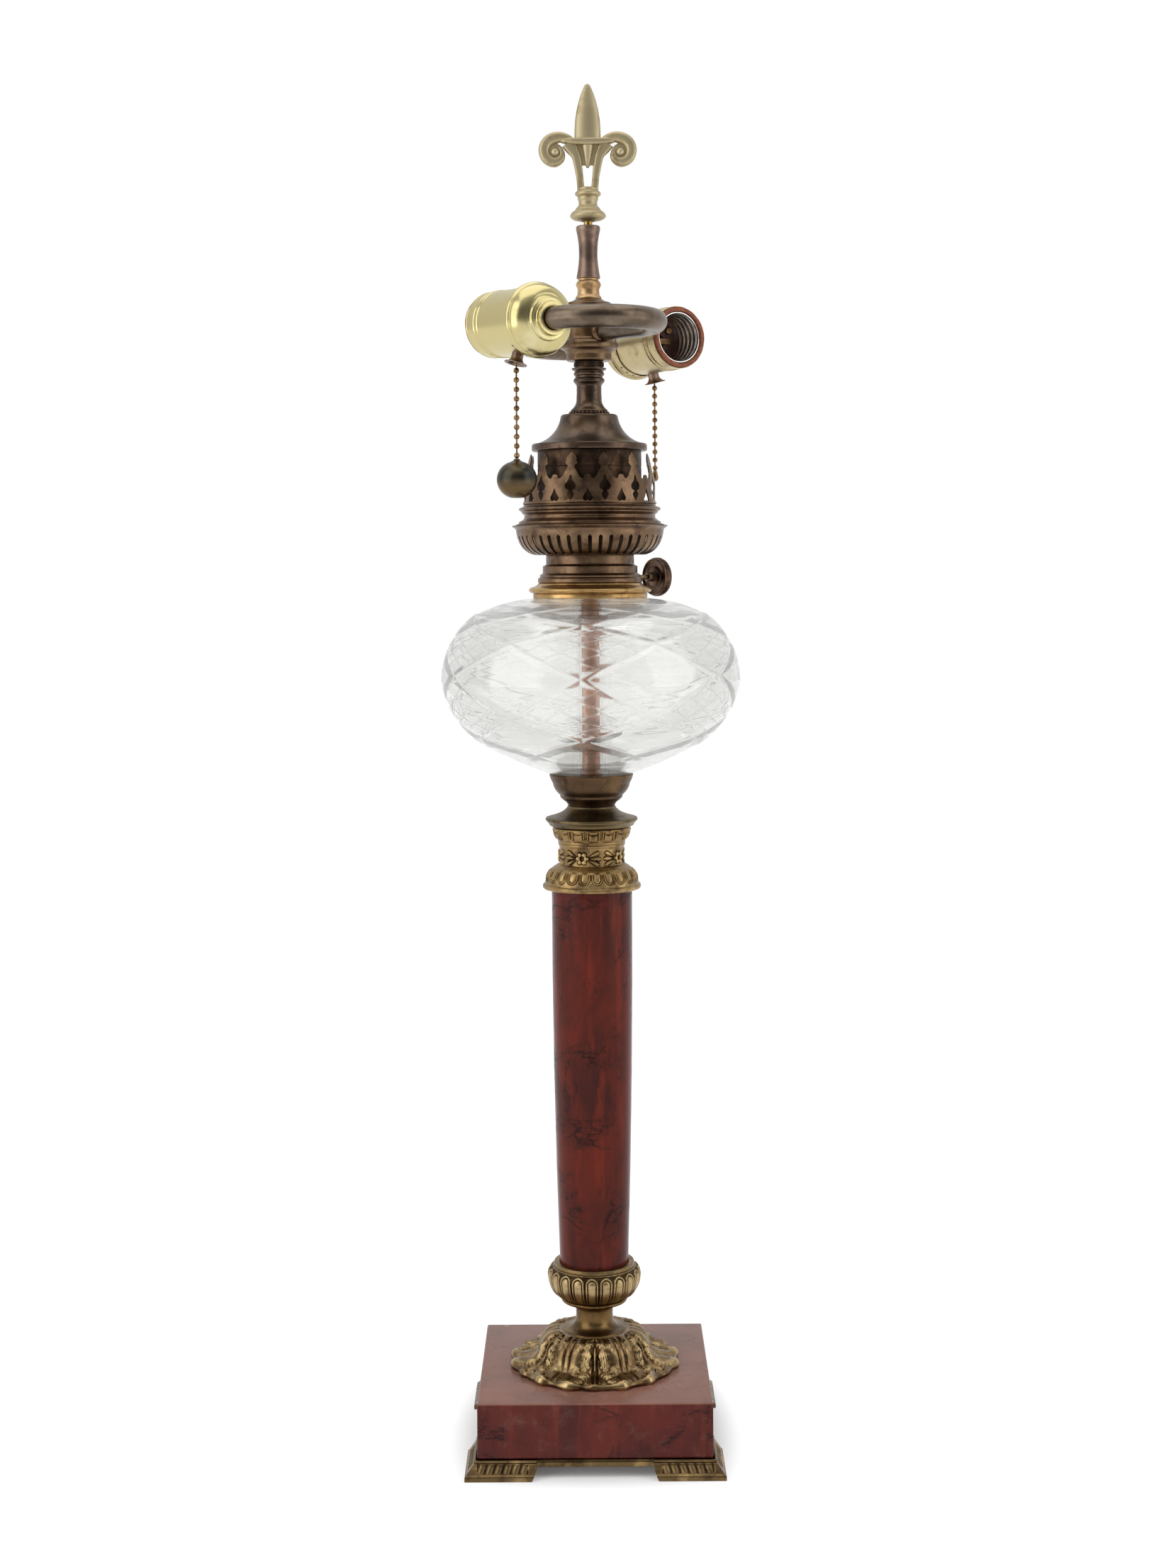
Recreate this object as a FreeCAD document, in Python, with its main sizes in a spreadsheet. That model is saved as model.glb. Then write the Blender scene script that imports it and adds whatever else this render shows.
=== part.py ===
import FreeCAD, Part
import math
import os
import re
import Sketcher
from FreeCAD import Placement, Rotation, Vector

# A tall fluid lamp: a marble block and column with gilt mounts, a cut-glass font, an oil burner,
# and a two-light socket cluster with pull chains under a fleur finial.
# Millimetres, +Z up, origin on the floor under the middle of the base, -Y towards the viewer.

# Every driving size. Lengths are in mm, angles end in _angle and counts in _count.
SIZES = {
    # Threaded pipe that holds the whole lamp together
    "pipe_radius": 4.75,
    "pipe_wall": 1.4,
    "pipe_clearance": 0.1,
    "pipe_foot_gap": 2.0,
    "pipe_hub_reach": 7.5,
    # Gilt foot frame
    "foot_height": 9.1,
    "foot_reach": 66.0,
    "foot_fillet": 2.8,
    "foot_crown": 1.3,
    "foot_step": 0.8,
    "foot_wing": 34.0,
    "foot_wing_slant": 2.4,
    "frame_strip_depth": 3.7,
    "frame_overhang": 1.0,
    "frame_width": 8.7,
    # Clamping nut and washer under the block
    "washer_radius": 15.0,
    "washer_thickness": 1.6,
    "nut_across": 15.0,
    "nut_height": 4.2,
    # Marble block
    "block_width": 119.6,
    "block_height": 27.9,
    "block_chamfer": 0.9,
    # Leaf socle
    "socle_radius": 45.3,
    "socle_height": 18.5,
    "socle_scallop_count": 16,
    "socle_scallop_radius": 3.4,
    # Neck under the cup
    "neck_radius": 17.6,
    "neck_waist_radius": 9.7,
    "neck_height": 16.8,
    # Gadrooned cup
    "cup_radius": 24.6,
    "cup_height": 19.0,
    "column_seat_depth": 2.0,
    "column_clearance": 0.2,
    # Marble column
    "column_foot_radius": 18.1,
    "column_top_radius": 21.4,
    "column_height": 202.3,
    # Gilt collar on the column
    "collar_radius": 26.2,
    "collar_frieze_radius": 17.2,
    "collar_height": 32.9,
    "collar_recess": 2.2,
    # Abacus cone and font cup
    "abacus_radius": 24.6,
    "abacus_height": 11.1,
    "font_cup_foot_radius": 12.5,
    "font_cup_radius": 22.4,
    "font_cup_height": 17.0,
    # Cut-glass font
    "glass_radius": 79.5,
    "glass_height": 93.1,
    "glass_wall": 3.4,
    "glass_mouth_radius": 24.0,
    "glass_shoulder_radius": 30.3,
    # Clear sleeve round the pipe inside the font
    "sleeve_radius": 7.75,
    "sleeve_wall": 2.2,
    # Collar cemented on the font
    "font_collar_radius": 32.7,
    "font_collar_height": 8.0,
    # Burner body
    "burner_radius": 27.8,
    "burner_neck_radius": 23.4,
    "burner_height": 15.0,
    "burner_wall": 2.2,
    "burner_floor": 1.5,
    "burner_thread_radius": 21.6,
    "burner_thread_depth": 7.2,
    "wick_tube_radius": 13.0,
    "wick_tube_wall": 0.9,
    "wick_tube_height": 59.0,
    "seat_clearance": 0.05,
    # Slotted basket
    "basket_radius": 41.4,
    "basket_bowl_radius": 39.3,
    "basket_floor_radius": 29.2,
    "basket_height": 15.8,
    "basket_slot_count": 43,
    "basket_slot_width": 1.6,
    "sheet_thickness": 1.2,
    # Gallery ring, crown and drum
    "gallery_radius": 37.8,
    "gallery_height": 11.2,
    "crown_radius": 34.9,
    "crown_tip_radius": 32.2,
    "crown_height": 27.0,
    "crown_wall_height": 15.6,
    "crown_prong_count": 12,
    "crown_turn_angle": -2.0,
    "drum_radius": 27.6,
    "drum_rise": 28.2,
    # Cone cap, beaded ring, stem and knurled nut
    "cone_radius": 30.7,
    "cone_height": 19.4,
    "bead_ring_radius": 10.5,
    "bead_ring_height": 1.5,
    "bead_ring_count": 30,
    "stem_radius": 10.0,
    "stem_height": 23.2,
    "knurl_radius": 8.1,
    "knurl_height": 3.8,
    # Two-light cluster
    "hub_radius": 15.6,
    "hub_height": 28.4,
    "hub_floor_height": 20.6,
    "lid_radius": 12.8,
    "lid_height": 4.5,
    "cluster_turn_angle": 34.2,
    "arm_rise": 14.4,
    "arm_radius": 5.9,
    "arm_root_radius": 4.6,
    "arm_wall": 1.3,
    "arm_root_reach": 8.0,
    "arm_length": 51.3,
    "arm_bend_radius": 29.5,
    "arm_tail": 8.0,
    # Lamp socket
    "socket_tilt_angle": 1.6,
    "socket_neck_lead": 4.7,
    "cap_radius": 19.2,
    "cap_neck_radius": 8.6,
    "cap_length": 21.0,
    "cap_neck_clearance": 0.5,
    "socket_sheet": 0.45,
    "shell_radius": 17.1,
    "shell_length": 41.0,
    "shell_lead": 15.6,
    "fibre_wall": 2.2,
    "fibre_proud": 1.8,
    "thread_radius": 13.3,
    "thread_wall": 0.5,
    "thread_length": 20.0,
    "thread_inset": 1.3,
    "core_length": 17.0,
    "contact_radius": 4.2,
    "contact_height": 2.4,
    "contact_eyelet_radius": 2.1,
    "contact_eyelet_height": 0.9,
    "contact_well_gap": 0.3,
    "socket_clearance": 0.15,
    # Pull-chain outlet and chains
    "outlet_lead": 26.0,
    "outlet_roll_angle": 15.0,
    "bell_radius": 5.85,
    "bell_stem_radius": 3.0,
    "bell_bore_radius": 1.75,
    "bell_height": 5.4,
    "bell_root": 2.2,
    "chain_bead_radius": 1.45,
    "chain_link_gap": 0.35,
    "chain_pivot_inset": 1.5,
    "link_stalk": 19.0,
    "near_chain_pitch": 4.77,
    "near_chain_count": 10,
    "far_chain_pitch": 4.46,
    "far_chain_count": 11,
    "ball_radius": 10.2,
    "ball_height": 18.5,
    "ball_nub_height": 1.6,
    "chain_end_radius": 1.9,
    "chain_end_height": 6.0,
    "chain_tail": 3.0,
    # Spools, stud and finial
    "lower_spool_radius": 7.0,
    "lower_spool_height": 11.0,
    "upper_spool_radius": 6.4,
    "upper_spool_height": 28.0,
    "stud_radius": 2.3,
    "stud_clearance": 0.05,
    "stud_gap": 2.4,
    "stud_engagement": 8.0,
    "knob_radius": 9.4,
    "knob_height": 16.6,
    "fleur_half_width": 26.0,
    "fleur_height": 56.8,
    "fleur_depth": 8.4,
    "fleur_scroll_radius": 8.4,
    "fleur_scroll_depth": 6.6,
    # Wick raiser
    "wick_turn_angle": 37.1,
    "wick_rise": 3.0,
    "wick_shaft_radius": 1.2,
    "wick_shaft_start": 14.6,
    "wick_shaft_end": 48.4,
    "wick_shaft_clearance": 0.06,
    "wick_sprocket_radius": 4.4,
    "wick_sprocket_width": 1.8,
    "wick_sprocket_tooth_count": 10,
    "wick_tooth_radius": 0.9,
    "wick_knob_radius": 10.6,
    "wick_knob_boss_radius": 2.6,
    "wick_knob_lead": 38.6,
    "wick_knob_length": 10.2,
    # Overrun of every cut
    "cut_over": 2.0,
}

doc = FreeCAD.newDocument("fluid_lamp")
sheet = doc.addObject("Spreadsheet::Sheet", "Sizes")
for row, (alias, number) in enumerate(SIZES.items(), start=1):
    sheet.set(f"A{row}", alias)
    sheet.set(f"B{row}", str(number))
    sheet.setAlias(f"B{row}", alias)
doc.recompute()

PARTS = []


def bound(text):
    """Writes the sheet's name before each alias of an expression."""
    return re.sub(r"[a-z][a-z_]*", lambda word: "Sizes." + word.group() if word.group() in SIZES else word.group(), text)


def value(text):
    """The number that an expression gives now."""
    found = sheet.evalExpression(bound(text))
    return float(getattr(found, "Value", found))


def new_body(label):
    """An empty body under its own name."""
    body = doc.addObject("PartDesign::Body", label)
    body.Label = label
    PARTS.append(body)
    return body


def origin_part(body, role):
    """One of the body's own origin planes or axes."""
    return next(feature for feature in body.Origin.OriginFeatures if feature.Role == role)


def place(body, rise, across="0", back="0", turn=None):
    """Stands a body at a place worked out from the sizes, turned by a Rotation."""
    body.Placement = Placement(Vector(value(across), value(back), value(rise)), turn or Rotation())
    body.setExpression("Placement.Base.x", bound(across))
    body.setExpression("Placement.Base.y", bound(back))
    body.setExpression("Placement.Base.z", bound(rise))


def new_sketch(body, plane, name, lift=None):
    """A sketch on one of the body's planes, lifted off it by an expression."""
    sketch = body.newObject("Sketcher::SketchObject", name)
    sketch.AttachmentSupport = (origin_part(body, plane), [""])
    sketch.MapMode = "FlatFace"
    if lift:
        sketch.AttachmentOffset = Placement(Vector(0, 0, value(lift)), Rotation())
        sketch.setExpression("AttachmentOffset.Base.z", bound(lift))
    return sketch


def hold_point(sketch, item, end, across, up):
    """Constrains one point of a sketch to two expressions."""
    for kind, axis, text in (("DistanceX", -2, across), ("DistanceY", -1, up)):
        number = value(text)
        if abs(number) < 1e-9:
            sketch.addConstraint(Sketcher.Constraint("PointOnObject", item, end, axis))
        elif number > 0:
            index = sketch.addConstraint(Sketcher.Constraint(kind, -1, 1, item, end, number))
            sketch.setExpression(f"Constraints[{index}]", bound(text))
        else:
            index = sketch.addConstraint(Sketcher.Constraint(kind, item, end, -1, 1, -number))
            sketch.setExpression(f"Constraints[{index}]", bound(f"-({text})"))


def trace(sketch, outline):
    """Draws a closed outline. A point is (across, up) or (across, up, bulge share).

    The bulge share is the rise of the run to the next point over its chord, positive to the right of the run.
    """
    corners = [Vector(value(point[0]), value(point[1]), 0) for point in outline]
    first = sketch.GeometryCount
    for index, point in enumerate(outline):
        start = corners[index]
        stop = corners[(index + 1) % len(corners)]
        if len(point) == 2:
            sketch.addGeometry(Part.LineSegment(start, stop))
            continue
        run = stop - start
        crest = (start + stop) * 0.5 + Vector(run.y, -run.x, 0) * point[2]
        sketch.addGeometry(Part.Arc(start, crest, stop))
    ends = []
    for index in range(len(outline)):
        item = first + index
        near_start = (sketch.getPoint(item, 1) - corners[index]).Length < (sketch.getPoint(item, 2) - corners[index]).Length
        ends.append((1, 2) if near_start else (2, 1))
    for index, point in enumerate(outline):
        following = (index + 1) % len(outline)
        item = first + index
        sketch.addConstraint(
            Sketcher.Constraint("Coincident", item, ends[index][1], first + following, ends[following][0])
        )
        hold_point(sketch, item, ends[index][0], point[0], point[1])
        if len(point) == 3:
            far = outline[following]
            factor = (0.25 + point[2] ** 2) / (2 * abs(point[2]))
            chord = f"sqrt(({far[0]} - ({point[0]}))^2 + ({far[1]} - ({point[1]}))^2) * {factor:.6f}"
            radius = sketch.addConstraint(Sketcher.Constraint("Radius", item, value(chord)))
            sketch.setExpression(f"Constraints[{radius}]", bound(chord))


def ring(sketch, radius, across="0", up="0"):
    """Draws a circle held by its radius and its centre."""
    centre = Vector(value(across), value(up), 0)
    item = sketch.addGeometry(Part.Circle(centre, Vector(0, 0, 1), value(radius)))
    hold_point(sketch, item, 3, across, up)
    index = sketch.addConstraint(Sketcher.Constraint("Radius", item, value(radius)))
    sketch.setExpression(f"Constraints[{index}]", bound(radius))


def spin(body, outline, name="Turned"):
    """Revolves an outline of (radius, height) points about the body's own Z axis."""
    sketch = new_sketch(body, "XZ_Plane", name + "Outline")
    trace(sketch, outline)
    feature = body.newObject("PartDesign::Revolution", name)
    feature.Profile = sketch
    feature.ReferenceAxis = (sketch, ["V_Axis"])
    feature.Angle = 360
    sketch.Visibility = False
    return feature


def raise_pad(body, sketch, length, symmetric=False, reverse=False):
    """Pads a sketch by an expression."""
    pad = body.newObject("PartDesign::Pad", sketch.Name + "Pad")
    pad.Profile = sketch
    pad.SideType = "Symmetric" if symmetric else "One side"
    pad.Reversed = reverse
    pad.Length = value(length)
    pad.setExpression("Length", bound(length))
    return pad


def cut(body, sketch, length, symmetric=False, reverse=False):
    """Pockets a sketch by an expression."""
    pocket = body.newObject("PartDesign::Pocket", sketch.Name + "Cut")
    pocket.Profile = sketch
    pocket.SideType = "Symmetric" if symmetric else "One side"
    pocket.Reversed = reverse
    pocket.Length = value(length)
    pocket.setExpression("Length", bound(length))
    return pocket


def around(body, features, count):
    """Repeats features evenly about the body's Z axis."""
    pattern = body.newObject("PartDesign::PolarPattern", features[0].Name + "Around")
    pattern.Originals = features
    pattern.Axis = (origin_part(body, "Z_Axis"), [""])
    pattern.Angle = 360
    pattern.Occurrences = int(value(count))
    pattern.setExpression("Occurrences", bound(count))
    body.Tip = pattern
    return pattern


def shares_of(radius, height, shares):
    """Outline points from a table of shares of a radius and a height."""
    return [(f"{radius} * {row[0]}", f"{height} * {row[1]}", *row[2:]) for row in shares]


def bored(height, profile, bore="pipe_radius + pipe_clearance"):
    """Closes an outer profile with a bore right through."""
    return [(bore, "0")] + profile + [(bore, height)]


def turned_mount(label, rise, radius, height, shares, bore="pipe_radius + pipe_clearance", turn=None):
    """A turned mount with a bore, whose profile is a table of shares."""
    body = new_body(label)
    spin(body, bored(height, shares_of(radius, height, shares), bore))
    place(body, rise, turn=turn)
    return body


def turned_piece(label, outline, rise="0", across="0", back="0", turn=None):
    """A turned piece with its own whole outline."""
    body = new_body(label)
    spin(body, outline)
    place(body, rise, across, back, turn)
    return body


def square(half):
    """A square outline about the origin."""
    return [(f"-({half})", f"-({half})"), (half, f"-({half})"), (half, half), (f"-({half})", half)]


# Heights of the stacked pieces above the floor, each worked out from the pieces under it
STACK = [
    ("foot_frame", "foot_height"),
    ("marble_base", "block_height"),
    ("leaf_socle", "socle_height"),
    ("socle_neck", "neck_height"),
    ("gadroon_cup", "cup_height - column_seat_depth"),
    ("marble_column", "column_height - collar_recess"),
    ("column_collar", "collar_height"),
    ("abacus_cone", "abacus_height"),
    ("font_cup", "font_cup_height"),
    ("glass_font", "glass_height"),
    ("font_collar", "font_collar_height"),
    ("burner_body", "burner_height"),
    ("burner_basket", "basket_height"),
    ("gallery_ring", "gallery_height"),
    ("gallery_crown", "drum_rise"),
    ("cone_cap", "cone_height"),
    ("beaded_ring", "bead_ring_height"),
    ("stem", "stem_height"),
    ("knurled_nut", "knurl_height"),
    ("cluster_hub", "hub_height"),
    ("cluster_lid", "lid_height"),
    ("lower_spool", "lower_spool_height"),
    ("upper_spool", "upper_spool_height"),
    ("finial_gap", "stud_gap"),
    ("finial_knob", "knob_height"),
    ("finial_fleur", "fleur_height"),
]
LEVEL = {}
below = []
for piece, tall in STACK:
    LEVEL[piece] = " + ".join(below) if below else "0"
    below.append(tall)
LAMP_HEIGHT = " + ".join(below)


def foot_frame():
    """Gilt frame under the block, with a winged foot at each corner."""
    body = new_body("foot_frame")
    low = new_sketch(body, "XY_Plane", "FootFillet")
    trace(low, square("foot_reach"))
    raise_pad(body, low, "foot_fillet")
    foot = new_sketch(body, "XY_Plane", "FootSlopeFoot", "foot_fillet")
    trace(foot, square("foot_reach - foot_step"))
    top = new_sketch(body, "XY_Plane", "FootSlopeTop", "foot_height - foot_crown")
    trace(top, square("block_width / 2 + frame_overhang + foot_step"))
    slope = body.newObject("PartDesign::AdditiveLoft", "FootSlope")
    slope.Profile = foot
    slope.Sections = [(top, [""])]
    slope.Ruled = True
    crown = new_sketch(body, "XY_Plane", "FootCrown", "foot_height - foot_crown")
    trace(crown, square("block_width / 2 + frame_overhang"))
    raise_pad(body, crown, "foot_crown")
    inside = new_sketch(body, "XY_Plane", "FrameInside", "foot_height")
    trace(inside, square("block_width / 2 - frame_width"))
    cut(body, inside, "foot_height")
    gap = "foot_reach - foot_wing"
    arch = [
        (f"-({gap})", "-cut_over"),
        (gap, "-cut_over"),
        (f"{gap} - foot_wing_slant", "foot_height - frame_strip_depth"),
        (f"-({gap}) + foot_wing_slant", "foot_height - frame_strip_depth"),
    ]
    for plane in ("XZ_Plane", "YZ_Plane"):
        opening = new_sketch(body, plane, "FootArch" + plane[:2])
        trace(opening, arch)
        cut(body, opening, "foot_reach * 2 + cut_over", symmetric=True)
    lip = new_sketch(body, "XY_Plane", "StripFace", "foot_height - foot_crown")
    edge = "block_width / 2 + frame_overhang"
    trace(
        lip,
        [
            (edge, f"-({gap} - foot_wing_slant)"),
            ("foot_reach + cut_over", f"-({gap} - foot_wing_slant)"),
            ("foot_reach + cut_over", f"{gap} - foot_wing_slant"),
            (edge, f"{gap} - foot_wing_slant"),
        ],
    )
    around(body, [cut(body, lip, "foot_height")], "4")
    place(body, LEVEL["foot_frame"])


def clamp_nut():
    """Washer and hexagonal nut on the pipe under the block."""
    bore = "pipe_radius + pipe_clearance"
    turned_piece(
        "base_washer",
        [
            (bore, "0"),
            ("washer_radius", "0"),
            ("washer_radius", "washer_thickness"),
            (bore, "washer_thickness"),
        ],
        "foot_height - washer_thickness",
    )
    body = new_body("base_nut")
    sketch = new_sketch(body, "XY_Plane", "NutFlats")
    corner = "nut_across / 2 / cos(30)"
    trace(sketch, [(f"{corner} * cos({60 * side})", f"{corner} * sin({60 * side})") for side in range(6)])
    ring(sketch, bore)
    raise_pad(body, sketch, "nut_height")
    place(body, "foot_height - washer_thickness - nut_height")


def marble_base():
    """Square marble block with small chamfers and a hole for the pipe."""
    body = new_body("marble_base")
    sketch = new_sketch(body, "XY_Plane", "BlockPlan")
    trace(sketch, square("block_width / 2"))
    pad = raise_pad(body, sketch, "block_height")
    doc.recompute()
    top = max(range(len(pad.Shape.Faces)), key=lambda index: pad.Shape.Faces[index].CenterOfMass.z)
    upright = [
        index
        for index, side in enumerate(pad.Shape.Edges)
        if abs(side.Vertexes[0].Z - side.Vertexes[-1].Z) > value("block_height") / 2
    ]
    chamfer = body.newObject("PartDesign::Chamfer", "BlockChamfer")
    chamfer.Base = (pad, [f"Face{top + 1}"] + [f"Edge{index + 1}" for index in upright])
    chamfer.Size = value("block_chamfer")
    chamfer.setExpression("Size", bound("block_chamfer"))
    hole = new_sketch(body, "XY_Plane", "BlockHole", "block_height")
    ring(hole, "pipe_radius + pipe_clearance")
    cut(body, hole, "block_height")
    place(body, LEVEL["marble_base"])


def leaf_socle():
    """Gilt dome of leaves whose scalloped edge lies on the block."""
    shares = [
        (0.95, 0.0),
        (1.0, 0.08),
        (0.985, 0.21, -0.09),
        (0.66, 0.36, 0.05),
        (0.605, 0.62, 0.14),
        (0.375, 1.0),
    ]
    body = turned_mount("leaf_socle", LEVEL["leaf_socle"], "socle_radius", "socle_height", shares)
    notch = new_sketch(body, "XY_Plane", "Scallop", "socle_height")
    ring(notch, "socle_scallop_radius", "socle_radius + socle_scallop_radius * 0.6")
    around(body, [cut(body, notch, "socle_height")], "socle_scallop_count")


def socle_neck():
    """Waisted neck between the leaf dome and the cup."""
    lip = "neck_radius"
    waist = "neck_waist_radius"
    tall = "neck_height"
    profile = [
        (f"{lip} * 0.965", "0"),
        (f"{lip} * 0.95", f"{tall} * 0.05"),
        (f"{lip} * 0.70", f"{tall} * 0.09", -0.15),
        (waist, f"{tall} * 0.40", -0.03),
        (f"{waist} * 1.03", f"{tall} * 0.70", -0.18),
        (f"{lip} * 0.86", f"{tall} * 0.86"),
        (f"{lip} * 0.98", f"{tall} * 0.89"),
        (lip, f"{tall} * 0.92"),
        (lip, tall),
    ]
    turned_piece("socle_neck", bored(tall, profile), LEVEL["socle_neck"])


def gadroon_cup():
    """Gadrooned cup that the column stands in."""
    seat = "cup_height - column_seat_depth"
    pocket = "column_foot_radius + column_clearance"
    bore = "pipe_radius + pipe_clearance"
    turned_piece(
        "gadroon_cup",
        [
            (bore, "0"),
            ("cup_radius * 0.69", "0", 0.14),
            ("cup_radius", "cup_height * 0.58", 0.10),
            ("cup_radius * 0.86", "cup_height * 0.96"),
            ("cup_radius * 0.845", "cup_height"),
            (pocket, "cup_height"),
            (pocket, seat),
            (bore, seat),
        ],
        LEVEL["gadroon_cup"],
    )


def marble_column():
    """Marble column, narrower at its foot, with a slight swell."""
    bore = "pipe_radius + pipe_clearance"
    turned_piece(
        "marble_column",
        [
            (bore, "0"),
            ("column_foot_radius", "0", 0.0045),
            ("column_top_radius", "column_height"),
            (bore, "column_height"),
        ],
        LEVEL["marble_column"],
    )


def column_collar():
    """Gilt collar: ovolo of eggs, rosette frieze and a band of eggs and darts."""
    rim = "collar_radius"
    tall = "collar_height"
    bore = "pipe_radius + pipe_clearance"
    recess = "column_top_radius + column_clearance"
    profile = [
        (bore, "collar_recess"),
        (recess, "collar_recess"),
        (recess, "0"),
        (f"{rim} * 0.975", "0"),
        (rim, f"{tall} * 0.03"),
        (rim, f"{tall} * 0.06"),
        (f"{rim} * 0.95", f"{tall} * 0.10", 0.13),
        (f"{rim} * 0.71", f"{tall} * 0.385"),
        ("collar_frieze_radius", f"{tall} * 0.41"),
        ("collar_frieze_radius", f"{tall} * 0.685"),
        (f"{rim} * 0.69", f"{tall} * 0.75"),
        (f"{rim} * 0.685", f"{tall} * 0.79", 0.07),
        (f"{rim} * 0.79", f"{tall} * 0.93"),
        (f"{rim} * 0.79", f"{tall} * 0.98"),
        (f"{rim} * 0.77", tall),
        (bore, tall),
    ]
    turned_piece("column_collar", profile, LEVEL["column_collar"])


def abacus_and_cup():
    """Abacus ring with its cone, and the stepped cup under the font."""
    abacus_shares = [
        (0.80, 0.0),
        (0.915, 0.06),
        (0.93, 0.16),
        (1.0, 0.33),
        (0.99, 0.42),
        (0.79, 0.54),
        (0.765, 0.57, -0.06),
        (0.515, 0.95),
        (0.512, 1.0),
    ]
    turned_mount("abacus_cone", LEVEL["abacus_cone"], "abacus_radius", "abacus_height", abacus_shares)
    foot = "font_cup_foot_radius"
    rim = "font_cup_radius"
    tall = "font_cup_height"
    profile = [
        (foot, "0"),
        (f"{foot} * 1.14", f"{tall} * 0.20", -0.08),
        (f"{rim} * 0.73", f"{tall} * 0.29"),
        (f"{rim} * 0.745", f"{tall} * 0.34", 0.07),
        (rim, tall),
    ]
    turned_piece("font_cup", bored(tall, profile), LEVEL["font_cup"])


def glass_font():
    """Blown glass font, open at the collar and bored for the pipe below."""
    bulb = "glass_radius"
    tall = "glass_height"
    wall = "glass_wall"
    bore = "pipe_radius + pipe_clearance"
    turned_piece(
        "glass_font",
        [
            (bore, "0"),
            ("font_cup_radius", "0", 0.018),
            (f"{bulb} * 0.735", f"{tall} * 0.173", 0.11),
            (bulb, f"{tall} * 0.535", 0.12),
            (f"{bulb} * 0.77", f"{tall} * 0.915", 0.043),
            ("glass_shoulder_radius", tall),
            ("glass_mouth_radius", tall),
            ("glass_mouth_radius", f"{tall} - {wall} * 0.8", -0.04),
            (f"{bulb} * 0.77 - {wall} * 0.5", f"{tall} * 0.915 - {wall} * 0.85", -0.12),
            (f"{bulb} - {wall}", f"{tall} * 0.535", -0.11),
            (f"{bulb} * 0.735 - {wall} * 0.45", f"{tall} * 0.173 + {wall} * 0.9", -0.018),
            ("font_cup_radius", f"{wall} * 1.05"),
            (bore, f"{wall} * 1.05"),
        ],
        LEVEL["glass_font"],
    )


def centre_pipe():
    """Threaded pipe through the lamp, and the clear sleeve round it inside the font."""
    reach = f"{LEVEL['cluster_hub']} + pipe_hub_reach - pipe_foot_gap"
    turned_piece(
        "centre_pipe",
        [
            ("pipe_radius - pipe_wall", "0"),
            ("pipe_radius", "0"),
            ("pipe_radius", reach),
            ("pipe_radius - pipe_wall", reach),
        ],
        "pipe_foot_gap",
    )
    inner = "sleeve_radius - sleeve_wall"
    tall = "glass_height + font_collar_height - burner_thread_depth - glass_wall * 1.05"
    turned_piece(
        "font_sleeve",
        [(inner, "0"), ("sleeve_radius", "0"), ("sleeve_radius", tall), (inner, tall)],
        f"{LEVEL['glass_font']} + glass_wall * 1.05",
    )


def font_collar():
    """Brass collar cemented on the glass, which the burner screws into."""
    shares = [
        (0.925, 0.0),
        (0.93, 0.36),
        (0.985, 0.43),
        (1.0, 0.56),
        (0.965, 0.70),
        (0.88, 0.78),
        (0.85, 1.0),
    ]
    turned_mount(
        "font_collar",
        LEVEL["font_collar"],
        "font_collar_radius",
        "font_collar_height",
        shares,
        "burner_thread_radius + seat_clearance",
    )


def burner_body():
    """Burner body with a floor that holds the wick tube, and a hole for the wick shaft."""
    rim = "burner_radius"
    neck = "burner_neck_radius"
    tall = "burner_height"
    inner = "burner_neck_radius - burner_wall"
    thread = "burner_thread_radius"
    deep = "burner_thread_depth"
    bore = "wick_tube_radius + seat_clearance"
    body = new_body("burner_body")
    spin(
        body,
        [
            (bore, f"-({deep})"),
            (thread, f"-({deep})"),
            (thread, "0"),
            (f"{rim} * 0.975", "0"),
            (rim, f"{tall} * 0.10"),
            (rim, f"{tall} * 0.20"),
            (f"{rim} * 0.95", f"{tall} * 0.30"),
            (f"{rim} * 0.905", f"{tall} * 0.38"),
            (f"{rim} * 0.905", f"{tall} * 0.62"),
            (neck, f"{tall} * 0.65"),
            (neck, tall),
            (inner, tall),
            (f"{thread} - burner_wall", f"{tall} * 0.38"),
            (f"{thread} - burner_wall", f"burner_floor - {deep}"),
            (bore, f"burner_floor - {deep}"),
        ],
    )
    hole = new_sketch(body, "YZ_Plane", "ShaftHole")
    ring(hole, "wick_shaft_radius + wick_shaft_clearance", "0", "wick_rise")
    cut(body, hole, "burner_radius + cut_over", reverse=True)
    place(body, LEVEL["burner_body"], turn=Rotation(Vector(0, 0, 1), value("wick_turn_angle")))
    tube = "wick_tube_radius"
    thin = "wick_tube_radius - wick_tube_wall"
    turned_piece(
        "wick_tube",
        [(thin, "0"), (tube, "0"), (tube, "wick_tube_height"), (thin, "wick_tube_height")],
        f"{LEVEL['burner_body']} - burner_thread_depth",
    )


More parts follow.
